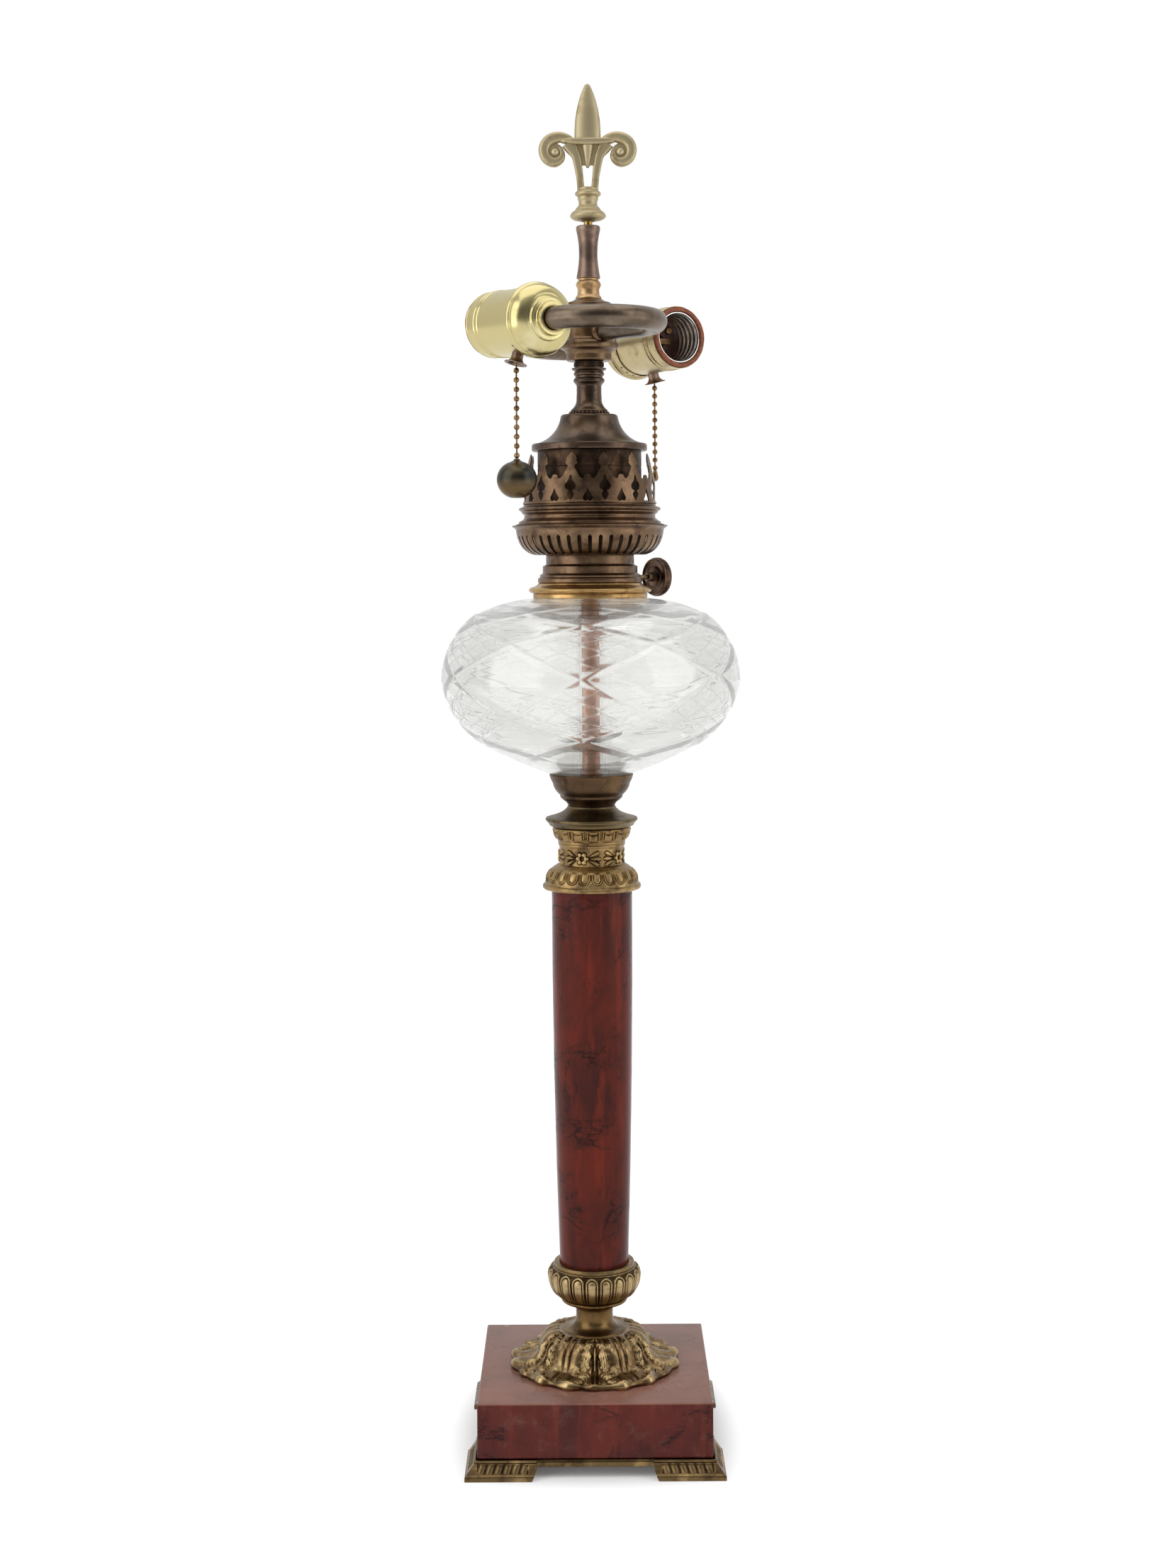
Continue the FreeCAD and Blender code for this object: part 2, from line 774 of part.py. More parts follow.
def burner_basket():
    """Pressed basket with air slots from its side round to its floor."""
    lip = "basket_radius"
    bowl = "basket_bowl_radius"
    floor = "basket_floor_radius"
    tall = "basket_height"
    sheet_wall = "sheet_thickness"
    inner = "burner_neck_radius - burner_wall"
    rest = "gallery_radius - sheet_thickness * 3"
    body = new_body("burner_basket")
    spin(
        body,
        [
            (inner, "0"),
            (floor, "0", 0.13),
            (f"{bowl} * 0.97", f"{tall} * 0.51"),
            (bowl, f"{tall} * 0.88"),
            (lip, f"{tall} * 0.97"),
            (lip, tall),
            (rest, tall),
            (rest, f"{tall} - {sheet_wall}"),
            (f"{bowl} - {sheet_wall}", f"{tall} * 0.88"),
            (f"{bowl} * 0.97 - {sheet_wall}", f"{tall} * 0.51", -0.13),
            (floor, sheet_wall),
            (inner, sheet_wall),
        ],
    )
    slot = new_sketch(body, "YZ_Plane", "AirSlot")
    trace(
        slot,
        [
            (f"-({bowl} + cut_over)", "-cut_over"),
            (f"-({floor} * 1.04)", "-cut_over"),
            (f"-({floor} * 1.04)", f"{tall} * 0.60"),
            (f"-({bowl} + cut_over)", f"{tall} * 0.60"),
        ],
    )
    around(body, [cut(body, slot, "basket_slot_width", symmetric=True)], "basket_slot_count")
    place(body, LEVEL["burner_basket"])


def gallery():
    """Ring stack on the basket, the pronged crown in it, and the dark drum inside."""
    shares = [
        (1.045, 0.0),
        (1.0, 0.17),
        (0.925, 0.34, -0.05),
        (0.92, 0.56),
        (0.965, 0.68),
        (1.0, 0.76),
        (0.965, 0.84),
        (0.93, 0.93),
        (0.925, 1.0),
    ]
    turned_mount(
        "gallery_ring",
        LEVEL["gallery_ring"],
        "gallery_radius",
        "gallery_height",
        shares,
        "crown_radius - sheet_thickness * 2",
    )
    drum = "drum_radius"
    tall = "basket_height + gallery_height + drum_rise - sheet_thickness"
    thin = "drum_radius - sheet_thickness"
    turned_piece(
        "inner_drum",
        [(thin, "0"), (drum, "0"), (drum, tall), (thin, tall)],
        f"{LEVEL['burner_basket']} + sheet_thickness",
    )


def gallery_crown():
    """Sheet crown with a cross-shaped prong over each spade piercing and a heart between."""
    outer = "crown_radius"
    tip = "crown_tip_radius"
    tall = "crown_height"
    wall = "crown_wall_height"
    thin = "sheet_thickness"
    body = new_body("gallery_crown")
    spin(
        body,
        [
            (f"{outer} - {thin}", "0"),
            (outer, "0"),
            (outer, f"{wall} * 1.06"),
            (tip, tall),
            (f"{tip} - {thin}", tall),
            (f"{outer} - {thin}", f"{wall} * 1.06"),
        ],
    )
    pitch = "crown_radius * 3.14159 / crown_prong_count"
    # Half of the gap between two prongs, as shares of half the pitch and of the crown's height
    gap_shares = [
        (0.14, 0.655),
        (0.20, 0.625),
        (0.26, 0.595),
        (0.42, 0.590),
        (0.56, 0.625),
        (0.60, 0.700),
        (0.64, 0.770),
        (0.52, 0.805),
        (0.55, 0.845),
        (0.76, 0.865),
        (0.78, 0.925),
        (0.98, 1.010),
    ]
    half = [(f"{pitch} * {row[0]}", f"{tall} * {row[1]}") for row in gap_shares]
    crest = [(half[-1][0], f"{tall} + cut_over")]
    left = [(f"-({across})", up) for across, up in reversed(half + crest)]
    gap = new_sketch(body, "XZ_Plane", "ProngGap")
    trace(gap, left + [("0", f"{tall} * 0.672")] + half + crest)
    reach = "crown_radius + cut_over"
    gap_cut = cut(body, gap, reach, reverse=True)
    heart_shares = [(0.0, 0.165), (0.16, 0.095), (0.25, 0.14), (0.20, 0.20), (0.02, 0.40)]
    heart = [(f"{pitch} * {row[0]}", f"{tall} * {row[1]}") for row in heart_shares]
    mirrored = [(f"-({across})", up) for across, up in reversed(heart[1:])]
    piercing = new_sketch(body, "XZ_Plane", "HeartPiercing")
    trace(piercing, heart + mirrored)
    heart_cut = cut(body, piercing, reach, reverse=True)
    around(body, [gap_cut, heart_cut], "crown_prong_count")
    # Spade piercing with a pointed drop, cut where the body's own X axis faces it and turned by half a pitch
    spade_shares = [
        (0.0, 0.09),
        (0.13, 0.21),
        (0.20, 0.24),
        (0.13, 0.29),
        (0.13, 0.34),
        (0.33, 0.37),
        (0.35, 0.45),
        (0.20, 0.56),
        (0.16, 0.60),
        (0.0, 0.70),
    ]
    spade = [(f"{pitch} * {row[0]}", f"{tall} * {row[1]}") for row in spade_shares]
    other = [(f"-({across})", up) for across, up in reversed(spade[1:-1])]
    club = new_sketch(body, "XZ_Plane", "SpadePiercing")
    club.AttachmentOffset = Placement(Vector(), Rotation(Vector(0, 1, 0), value("180 / crown_prong_count")))
    trace(club, spade + other)
    around(body, [cut(body, club, reach, reverse=True)], "crown_prong_count")
    place(body, LEVEL["gallery_crown"], turn=Rotation(Vector(0, 0, 1), value("crown_turn_angle")))


def cone_and_stem():
    """Cone cap over the drum, beaded ring, stem with its rings, and knurled nut."""
    bore = "pipe_radius + pipe_clearance"
    tall = "cone_height"
    rim = "cone_radius"
    thin = "sheet_thickness"
    turned_piece(
        "cone_cap",
        [
            (f"drum_radius - {thin} * 2", "0"),
            (f"{rim} * 0.985", "0"),
            (rim, f"{tall} * 0.025"),
            (rim, f"{tall} * 0.17"),
            (f"{rim} * 0.975", f"{tall} * 0.20"),
            (f"{rim} * 0.91", f"{tall} * 0.215", -0.145),
            (f"{rim} * 0.485", f"{tall} * 0.96"),
            (f"{rim} * 0.465", tall),
            (bore, tall),
            (bore, f"{tall} - {thin} * 2"),
            (f"{rim} * 0.42", f"{tall} * 0.94 - {thin}", 0.145),
            (f"{rim} * 0.83", f"{tall} * 0.215 - {thin} * 1.4"),
            (f"drum_radius - {thin} * 2", f"{tall} * 0.215 - {thin} * 1.4"),
        ],
        LEVEL["cone_cap"],
    )
    body = new_body("beaded_ring")
    core = "bead_ring_radius * 0.95"
    spin(
        body,
        [
            (bore, "0"),
            (core, "0"),
            (core, "bead_ring_height"),
            (bore, "bead_ring_height"),
        ],
    )
    bead = new_sketch(body, "XY_Plane", "Bead")
    ring(bead, "bead_ring_radius * 0.085", core)
    around(body, [raise_pad(body, bead, "bead_ring_height")], "bead_ring_count")
    place(body, LEVEL["beaded_ring"])
    stem_shares = [
        (0.99, 0.0),
        (1.0, 0.035),
        (0.96, 0.05, -0.12),
        (0.665, 0.31, -0.02),
        (0.66, 0.60),
        (0.70, 0.64),
        (0.81, 0.72),
        (0.72, 0.80),
        (0.806, 0.885),
        (0.74, 0.93),
        (0.925, 0.965),
        (0.925, 1.0),
    ]
    turned_mount("stem", LEVEL["stem"], "stem_radius", "stem_height", stem_shares)
    knurl_shares = [(0.96, 0.0), (1.0, 0.10), (1.0, 0.84), (0.94, 1.0)]
    turned_mount("knurled_nut", LEVEL["knurled_nut"], "knurl_radius", "knurl_height", knurl_shares)


def cluster_hub():
    """Hub of the cluster, cross-bored for its two arms, and its screwed lid."""
    rim = "hub_radius"
    tall = "hub_height"
    bore = "pipe_radius + pipe_clearance"
    stud_bore = "stud_radius + stud_clearance"
    body = new_body("cluster_hub")
    spin(
        body,
        [
            (bore, "0"),
            (f"{rim} * 0.74", "0"),
            (f"{rim} * 0.765", f"{tall} * 0.03"),
            (f"{rim} * 0.765", f"{tall} * 0.12", -0.16),
            (f"{rim} * 0.97", f"{tall} * 0.21"),
            (rim, f"{tall} * 0.23"),
            (rim, f"{tall} * 0.33"),
            (f"{rim} * 0.93", f"{tall} * 0.355"),
            (f"{rim} * 0.83", f"{tall} * 0.40"),
            (f"{rim} * 0.78", f"{tall} * 0.80"),
            (f"{rim} * 0.80", tall),
            (stud_bore, tall),
            (stud_bore, "hub_floor_height"),
            (bore, "hub_floor_height"),
        ],
    )
    hole = new_sketch(body, "XZ_Plane", "ArmBore")
    ring(hole, "arm_root_radius + seat_clearance", "0", "arm_rise")
    cut(body, hole, "hub_radius * 2 + cut_over", symmetric=True)
    place(body, LEVEL["cluster_hub"], turn=Rotation(Vector(0, 0, 1), value("cluster_turn_angle")))
    lid_shares = [(0.97, 0.0), (1.0, 0.12), (0.99, 0.40), (0.88, 0.62, -0.06), (0.60, 0.92), (0.56, 1.0)]
    turned_mount("cluster_lid", LEVEL["cluster_lid"], "lid_radius", "lid_height", lid_shares, stud_bore)


def cluster_arm(label, half_turn):
    """Arm of the cluster: straight out of the hub, then a hooked bend back to its socket."""
    body = new_body(label)
    plug = new_sketch(body, "XZ_Plane", "ArmPlug", "-arm_root_reach")
    ring(plug, "arm_root_radius")
    ring(plug, "arm_root_radius - arm_wall")
    raise_pad(body, plug, "hub_radius - arm_root_reach", reverse=True)
    root = new_sketch(body, "XZ_Plane", "ArmRoot", "-hub_radius")
    ring(root, "arm_root_radius")
    ring(root, "arm_root_radius - arm_wall")
    bend = new_sketch(body, "XZ_Plane", "ArmBendStart", "-arm_length")
    ring(bend, "arm_radius")
    ring(bend, "arm_radius - arm_wall")
    straight = body.newObject("PartDesign::AdditiveLoft", "ArmStraight")
    straight.Profile = root
    straight.Sections = [(bend, [""])]
    path = new_sketch(body, "XY_Plane", "ArmPath")
    centre = Vector(value("arm_bend_radius"), value("arm_length"), 0)
    start = Vector(0, value("arm_length"), 0)
    crest = centre + Vector(0, value("arm_bend_radius"), 0)
    stop = Vector(value("arm_bend_radius * 2"), value("arm_length"), 0)
    tail = Vector(stop.x, value("arm_length - arm_tail"), 0)
    path.addGeometry(Part.Arc(start, crest, stop))
    path.addGeometry(Part.LineSegment(stop, tail))
    first = 1 if (path.getPoint(0, 1) - start).Length < (path.getPoint(0, 2) - start).Length else 2
    path.addConstraint(Sketcher.Constraint("Coincident", 0, 3 - first, 1, 1))
    hold_point(path, 0, first, "0", "arm_length")
    hold_point(path, 0, 3, "arm_bend_radius", "arm_length")
    level = path.addConstraint(Sketcher.Constraint("DistanceY", -1, 1, 1, 1, value("arm_length")))
    path.setExpression(f"Constraints[{level}]", bound("arm_length"))
    hold_point(path, 1, 2, "arm_bend_radius * 2", "arm_length - arm_tail")
    section = new_sketch(body, "XZ_Plane", "ArmSection", "-arm_length")
    ring(section, "arm_radius")
    ring(section, "arm_radius - arm_wall")
    hook = body.newObject("PartDesign::AdditivePipe", "ArmHook")
    hook.Profile = section
    hook.Spine = (path, ["Edge1", "Edge2"])
    turn = Rotation(Vector(0, 0, 1), value("cluster_turn_angle") + half_turn)
    place(body, f"{LEVEL['cluster_hub']} + arm_rise", turn=turn)


def arm_point(side, out, half_turn):
    """Expressions for a point of an arm's own plane: side to its right, out along it."""
    angle = f"(cluster_turn_angle + {half_turn})"
    return (
        f"({side}) * cos{angle} - ({out}) * sin{angle}",
        f"({side}) * sin{angle} + ({out}) * cos{angle}",
    )


def socket_turn(half_turn):
    """Rotation that lays a socket's own Z axis back along its arm, tilted up at the mouth."""
    lay = Rotation(Vector(1, 0, 0), 90 - value("socket_tilt_angle"))
    return Rotation(Vector(0, 0, 1), value("cluster_turn_angle") + half_turn) * lay


def place_socket(body, half_turn, lead):
    """Stands a socket piece on the socket's axis, a lead beyond the start of its neck."""
    along = f"(({lead}) - socket_neck_lead)"
    across, back = arm_point("arm_bend_radius * 2", f"arm_length - {along} * cos(socket_tilt_angle)", half_turn)
    rise = f"{LEVEL['cluster_hub']} + arm_rise + {along} * sin(socket_tilt_angle)"
    place(body, rise, across, back, socket_turn(half_turn))


def socket_piece(label, half_turn, lead, outline):
    """A turned piece of a socket."""
    body = new_body(label)
    spin(body, outline)
    place_socket(body, half_turn, lead)
    return body


SHELL_END = "shell_lead + shell_length"
FIBRE_END = "shell_lead + shell_length + fibre_proud"
FIBRE_OUTER = "shell_radius - socket_sheet - socket_clearance"
CORE_LEAD = "shell_lead + shell_length + fibre_proud - thread_inset - thread_length - core_length"


def outlet_hole(body, radius, lead, half_turn):
    """Cuts the hole for the chain outlet through one side of a socket piece."""
    hole = new_sketch(body, "XY_Plane", "OutletHole")
    roll = value("outlet_roll_angle")
    hole.AttachmentOffset = Placement(
        Vector(0, 0, value(lead)), Rotation(Vector(0, 0, 1), roll) * Rotation(Vector(1, 0, 0), 90)
    )
    ring(hole, radius)
    return cut(body, hole, "shell_radius + cut_over", reverse=True)


def lamp_socket(prefix, half_turn):
    """One pull-chain socket: cap, shell, fibre liner, screw shell, core and contact."""
    rim = "cap_radius"
    neck = "cap_neck_radius"
    long = "cap_length"
    thin = "socket_sheet"
    mouth = "arm_radius + cap_neck_clearance"
    skirt = "shell_radius + socket_clearance"
    socket_piece(
        prefix + "_socket_cap",
        half_turn,
        "0",
        [
            (mouth, "0"),
            (neck, "0"),
            (neck, f"{long} * 0.13"),
            (f"{neck} * 1.24", f"{long} * 0.16"),
            (f"{neck} * 1.31", f"{long} * 0.25", 0.14),
            (f"{rim} * 0.955", f"{long} * 0.60"),
            (rim, f"{long} * 0.68"),
            (rim, f"{long} * 0.77"),
            (f"{skirt} + {thin}", f"{long} * 0.80"),
            (f"{skirt} + {thin}", long),
            (skirt, long),
            (skirt, f"{long} * 0.62", -0.14),
            (f"{neck} * 1.24 - {thin}", f"{long} * 0.25 + {thin}"),
            (mouth, f"{long} * 0.25 + {thin}"),
        ],
    )
    outer = "shell_radius"
    inner = "shell_radius - socket_sheet"
    lip = "shell_length * 0.80"
    shell = socket_piece(
        prefix + "_socket_shell",
        half_turn,
        "shell_lead",
        [
            (inner, "0"),
            (outer, "0"),
            (outer, f"{lip} - {thin} * 1.5"),
            (f"{outer} + {thin} * 0.6", f"{lip}"),
            (outer, f"{lip} + {thin} * 1.5"),
            (outer, "shell_length"),
            (inner, "shell_length"),
        ],
    )
    outlet_hole(shell, "bell_stem_radius + seat_clearance", "outlet_lead - shell_lead", half_turn)
    wall = f"{FIBRE_OUTER} - fibre_wall"
    fibre_long = "shell_length + fibre_proud"
    fibre = socket_piece(
        prefix + "_fibre_liner",
        half_turn,
        "shell_lead",
        [(wall, "0"), (FIBRE_OUTER, "0"), (FIBRE_OUTER, fibre_long), (wall, fibre_long)],
    )
    outlet_hole(fibre, "bell_stem_radius + seat_clearance", "outlet_lead - shell_lead", half_turn)
    bore = "thread_radius"
    body = "thread_radius + thread_wall"
    socket_piece(
        prefix + "_screw_shell",
        half_turn,
        f"{FIBRE_END} - thread_inset - thread_length",
        [(bore, "0"), (body, "0"), (body, "thread_length"), (bore, "thread_length")],
    )
    well = "contact_radius + contact_well_gap"
    sunk = "(contact_height + contact_eyelet_height + contact_well_gap)"
    core = socket_piece(
        prefix + "_socket_core",
        half_turn,
        CORE_LEAD,
        [
            ("0", "0"),
            (body, "0"),
            (body, "core_length"),
            (well, "core_length"),
            (well, f"core_length - {sunk}"),
            ("0", f"core_length - {sunk}"),
        ],
    )
    stalk_hole = f"chain_bead_radius * {STALK_SHARE} + seat_clearance * 4"
    outlet_hole(core, stalk_hole, f"outlet_lead - ({CORE_LEAD})", half_turn)
    socket_piece(
        prefix + "_centre_contact",
        half_turn,
        f"{CORE_LEAD} + core_length - {sunk}",
        [
            ("0", "0"),
            ("contact_radius", "0"),
            ("contact_radius", "contact_height * 0.4"),
            ("contact_eyelet_radius", "contact_height"),
            ("contact_eyelet_radius", "contact_height + contact_eyelet_height"),
            ("0", "contact_height + contact_eyelet_height"),
        ],
    )


# The wire of a bead chain is this share of a bead's radius
STALK_SHARE = 0.31
BEAD_BULGE_SHARE = (1 - STALK_SHARE) / (2 * math.sqrt(1 - STALK_SHARE**2))
BEAD_HALF_SHARE = math.sqrt(1 - STALK_SHARE**2)


def outlet_place(half_turn, drop):
    """Expressions for a point on the outlet's axis, a drop below the shell's surface."""
    along = "(outlet_lead - socket_neck_lead)"
    reach = f"(shell_radius + {drop})"
    down = f"{reach} * cos(outlet_roll_angle)"
    side = f"arm_bend_radius * 2 + {reach} * sin(outlet_roll_angle)"
    out = f"arm_length - {along} * cos(socket_tilt_angle) - {down} * sin(socket_tilt_angle)"
    across, back = arm_point(side, out, half_turn)
    rise = (
        f"{LEVEL['cluster_hub']} + arm_rise + {along} * sin(socket_tilt_angle)"
        f" - {down} * cos(socket_tilt_angle)"
    )
    return across, back, rise


def bead_outline(count, pitch, top_gap):
    """Outline of a bead chain hanging from the origin, down to its last bead's foot."""
    wire = f"chain_bead_radius * {STALK_SHARE}"
    half = f"chain_bead_radius * {BEAD_HALF_SHARE:.6f}"
    points = [("0", f"-({top_gap})"), (wire, f"-({top_gap})")]
    for bead in range(1, count + 1):
        centre = f"{pitch} * {bead}"
        points.append((wire, f"{half} - {centre}", -round(BEAD_BULGE_SHARE, 6)))
        points.append((wire, f"-({half}) - {centre}"))
    return points, wire


def pull_chain(prefix, half_turn, count, pitch):
    """Outlet bell, the link inside it, and the bead chain that hangs from the link."""
    across, back, rise = outlet_place(half_turn, "bell_height")
    # The outlet leans with the socket's tilt, and sideways by its own roll
    tilt = Rotation(Vector(1, 0, 0), -value("socket_tilt_angle"))
    lean = Rotation(Vector(0, 0, 1), value("cluster_turn_angle") + half_turn) * tilt
    lean = lean * Rotation(Vector(0, 1, 0), -value("outlet_roll_angle"))
    tall = "bell_height + bell_root"
    stem = "bell_stem_radius"
    bore = "bell_bore_radius"
    bell = new_body(prefix + "_chain_bell")
    spin(
        bell,
        [
            ("bell_radius * 0.86", "0", 0.14),
            (bore, "bell_height * 0.55"),
            (bore, tall),
            (stem, tall),
            (stem, "bell_height * 0.55", -0.16),
            ("bell_radius", "bell_height * 0.08"),
            ("bell_radius", "0"),
        ],
    )
    place(bell, rise, across, back, lean)
    across, back, rise = outlet_place(half_turn, "bell_height - chain_pivot_inset")
    half = f"chain_bead_radius * {BEAD_HALF_SHARE:.6f}"
    wire = f"chain_bead_radius * {STALK_SHARE}"
    link = new_body(prefix + "_pull_link")
    spin(
        link,
        [
            ("0", "-chain_bead_radius", 0.207107),
            ("chain_bead_radius", "0", 0.149),
            (wire, half),
            (wire, "link_stalk"),
            ("0", "link_stalk"),
        ],
    )
    place(link, rise, across, back, lean)
    points, wire = bead_outline(int(value(count)), pitch, "chain_bead_radius + chain_link_gap")
    foot = f"-({pitch} * {int(value(count))} + chain_bead_radius + chain_tail)"
    chain = new_body(prefix + "_bead_chain")
    spin(chain, points + [(wire, foot), ("0", foot)])
    place(chain, rise, across, back)
    return across, back, rise


def chain_ends():
    """Ball on the near chain and end fitting on the far one."""
    across, back, rise = pull_chain("near", 180, "near_chain_count", "near_chain_pitch")
    wire = f"chain_bead_radius * {STALK_SHARE} + seat_clearance"
    top = f"{rise} - near_chain_pitch * near_chain_count - chain_bead_radius"
    tall = "ball_height + ball_nub_height"
    depth = f"{tall} - chain_tail - seat_clearance"
    turned_piece(
        "near_pull_ball",
        [
            ("0", "0"),
            ("ball_radius * 0.36", "0", 0.16),
            ("ball_radius", "ball_height / 2", 0.16),
            ("ball_radius * 0.36", "ball_height"),
            ("ball_radius * 0.10", tall),
            (wire, tall),
            (wire, depth),
            ("0", depth),
        ],
        f"{top} - ({tall})",
        across,
        back,
    )
    across, back, rise = pull_chain("far", 0, "far_chain_count", "far_chain_pitch")
    top = f"{rise} - far_chain_pitch * far_chain_count - chain_bead_radius"
    turned_piece(
        "far_chain_end",
        [
            ("0", "0"),
            ("chain_end_radius * 0.6", "0", 0.1),
            ("chain_end_radius", "chain_end_height * 0.3"),
            ("chain_end_radius * 0.62", "chain_end_height"),
            (wire, "chain_end_height"),
            (wire, "chain_end_height - chain_tail - seat_clearance"),
            ("0", "chain_end_height - chain_tail - seat_clearance"),
        ],
        f"{top} - chain_end_height",
        across,
        back,
    )


def spools_and_stud():
    """Two spools clamped on the long stud that carries the finial."""
    bore = "stud_radius + stud_clearance"
    lower_shares = [
        (0.985, 0.0),
        (1.0, 0.07),
        (0.86, 0.18, -0.05),
        (0.82, 0.50),
        (0.955, 0.66),
        (0.955, 0.76),
        (0.745, 0.90),
        (0.80, 1.0),
    ]
    turned_mount("lower_spool", LEVEL["lower_spool"], "lower_spool_radius", "lower_spool_height", lower_shares, bore)
    upper_shares = [
        (0.97, 0.0),
        (0.99, 0.03, -0.02),
        (0.77, 0.40, -0.02),
        (0.78, 0.50, -0.03),
        (0.98, 0.90),
        (1.0, 0.93),
        (1.0, 0.985),
        (0.96, 1.0),
    ]
    turned_mount("upper_spool", LEVEL["upper_spool"], "upper_spool_radius", "upper_spool_height", upper_shares, bore)
    low = f"{LEVEL['cluster_hub']} + hub_floor_height"
    long = "hub_height - hub_floor_height + lid_height + lower_spool_height + upper_spool_height + stud_gap + stud_engagement"
    turned_piece(
        "finial_stud",
        [("0", "0"), ("stud_radius", "0"), ("stud_radius", long), ("0", long)],
        low,
    )


def finial():
    """Finial: turned knob that screws on the stud, and the flat fleur above it."""
    rim = "knob_radius"
    tall = "knob_height"
    bore = "stud_radius + stud_clearance"
    blind = "stud_engagement + stud_clearance * 4"
    turned_piece(
        "finial_knob",
        [
            (bore, "0"),
            (f"{rim} * 0.42", "0"),
            (f"{rim} * 0.66", f"{tall} * 0.03", 0.10),
            (rim, f"{tall} * 0.17", 0.16),
            (f"{rim} * 0.78", f"{tall} * 0.33"),
            (f"{rim} * 0.74", f"{tall} * 0.38", 0.1),
            (f"{rim} * 0.55", f"{tall} * 0.47"),
            (f"{rim} * 0.49", f"{tall} * 0.52"),
            (f"{rim} * 0.49", f"{tall} * 0.64"),
            (f"{rim} * 0.57", f"{tall} * 0.72"),
            (f"{rim} * 0.57", f"{tall} * 0.77"),
            (f"{rim} * 0.69", f"{tall} * 0.84", 0.2),
            (f"{rim} * 0.66", f"{tall} * 0.97"),
            (f"{rim} * 0.58", tall),
            ("0", tall),
            ("0", blind),
            (bore, blind),
        ],
        LEVEL["finial_knob"],
    )
    wide = "fleur_half_width"
    high = "fleur_height"
    # Right half of the blade, crossbar and leg, as shares of the half width and the height
    outer_shares = [
        (0.0, 1.0, 0.035),
        (0.10, 0.925, 0.02),
        (0.225, 0.765, 0.02),
        (0.27, 0.50),
        (0.62, 0.50),
        (0.62, 0.425),
        (0.46, 0.41),
        (0.42, 0.36),
        (0.33, 0.33),
        (0.25, 0.18),
        (0.212, 0.0),
    ]
    right = [(f"{wide} * {row[0]}", f"{high} * {row[1]}", *row[2:]) for row in outer_shares]
    left = []
    for index in range(len(outer_shares) - 1, 0, -1):
        bulge = outer_shares[index - 1][2:]
        left.append((f"-({wide} * {outer_shares[index][0]})", f"{high} * {outer_shares[index][1]}", *bulge))
    body = new_body("finial_fleur")
    plate = new_sketch(body, "XZ_Plane", "FleurOutline")
    trace(plate, right + left)
    raise_pad(body, plate, "fleur_depth", symmetric=True)
    scroll = new_sketch(body, "XZ_Plane", "FleurScrolls")
    for side in ("", "-"):
        ring(scroll, "fleur_scroll_radius", f"{side}({wide} - fleur_scroll_radius)", f"{high} * 0.382")
    scrolls = raise_pad(body, scroll, "fleur_scroll_depth", symmetric=True)
    scrolls.AllowMultiFace = True
    window_shares = [(-0.06, 0.02), (0.06, 0.02), (0.098, 0.19), (0.0, 0.21), (-0.098, 0.19)]
    window = new_sketch(body, "XZ_Plane", "FleurWindow")
    trace(window, [(f"{wide} * {row[0]}", f"{high} * {row[1]}") for row in window_shares])
    cut(body, window, "fleur_depth + cut_over", symmetric=True)
    place(body, LEVEL["finial_fleur"])


def wick_raiser():
    """Wick shaft through the burner's wall, with its toothed wheel and its knob."""
    rise = f"{LEVEL['burner_body']} + wick_rise"
    turn = Rotation(Vector(0, 0, 1), value("wick_turn_angle")) * Rotation(Vector(0, 1, 0), 90)

    def out(distance):
        return f"({distance}) * cos(wick_turn_angle)", f"({distance}) * sin(wick_turn_angle)"

    long = "wick_shaft_end - wick_shaft_start"
    across, back = out("wick_shaft_start")
    turned_piece(
        "wick_shaft",
        [("0", "0"), ("wick_shaft_radius", "0"), ("wick_shaft_radius", long), ("0", long)],
        rise,
        across,
        back,
        turn,
    )
    bore = "wick_shaft_radius"
    wheel = new_body("wick_sprocket")
    core = "wick_sprocket_radius - wick_tooth_radius"
    spin(
        wheel,
        [(bore, "0"), (core, "0"), (core, "wick_sprocket_width"), (bore, "wick_sprocket_width")],
    )
    tooth = new_sketch(wheel, "XY_Plane", "Tooth")
    ring(tooth, "wick_tooth_radius", core)
    around(wheel, [raise_pad(wheel, tooth, "wick_sprocket_width")], "wick_sprocket_tooth_count")
    across, back = out("wick_shaft_start + wick_sprocket_width / 2")
    place(wheel, rise, across, back, turn)
    rim = "wick_knob_radius"
    boss = "wick_knob_boss_radius"
    tall = "wick_knob_length"
    blind = "wick_shaft_end - wick_knob_lead"
    across, back = out("wick_knob_lead")
    turned_piece(
        "wick_knob",
        [
            (bore, "0"),
            (boss, "0"),
            (boss, f"{tall} * 0.44"),
            (f"{rim} * 0.50", f"{tall} * 0.47"),
            (f"{rim} * 0.55", f"{tall} * 0.55"),
            (f"{rim} * 0.82", f"{tall} * 0.52"),
            (f"{rim} * 0.90", f"{tall} * 0.43"),
            (f"{rim} * 0.975", f"{tall} * 0.45"),
            (rim, f"{tall} * 0.52"),
            (rim, f"{tall} * 0.90"),
            (f"{rim} * 0.95", f"{tall} * 0.97"),
            (f"{rim} * 0.80", tall),
            ("0", tall),
            ("0", blind),
            (bore, blind),
        ],
        rise,
        across,
        back,
        turn,
    )


foot_frame()
clamp_nut()
marble_base()
leaf_socle()
socle_neck()
gadroon_cup()
marble_column()
column_collar()
abacus_and_cup()
glass_font()
centre_pipe()
font_collar()
burner_body()
burner_basket()
gallery()
gallery_crown()
cone_and_stem()
cluster_hub()
cluster_arm("near_arm", 180)
cluster_arm("far_arm", 0)
lamp_socket("near", 180)
lamp_socket("far", 0)
chain_ends()
spools_and_stud()
finial()
wick_raiser()
doc.recompute()

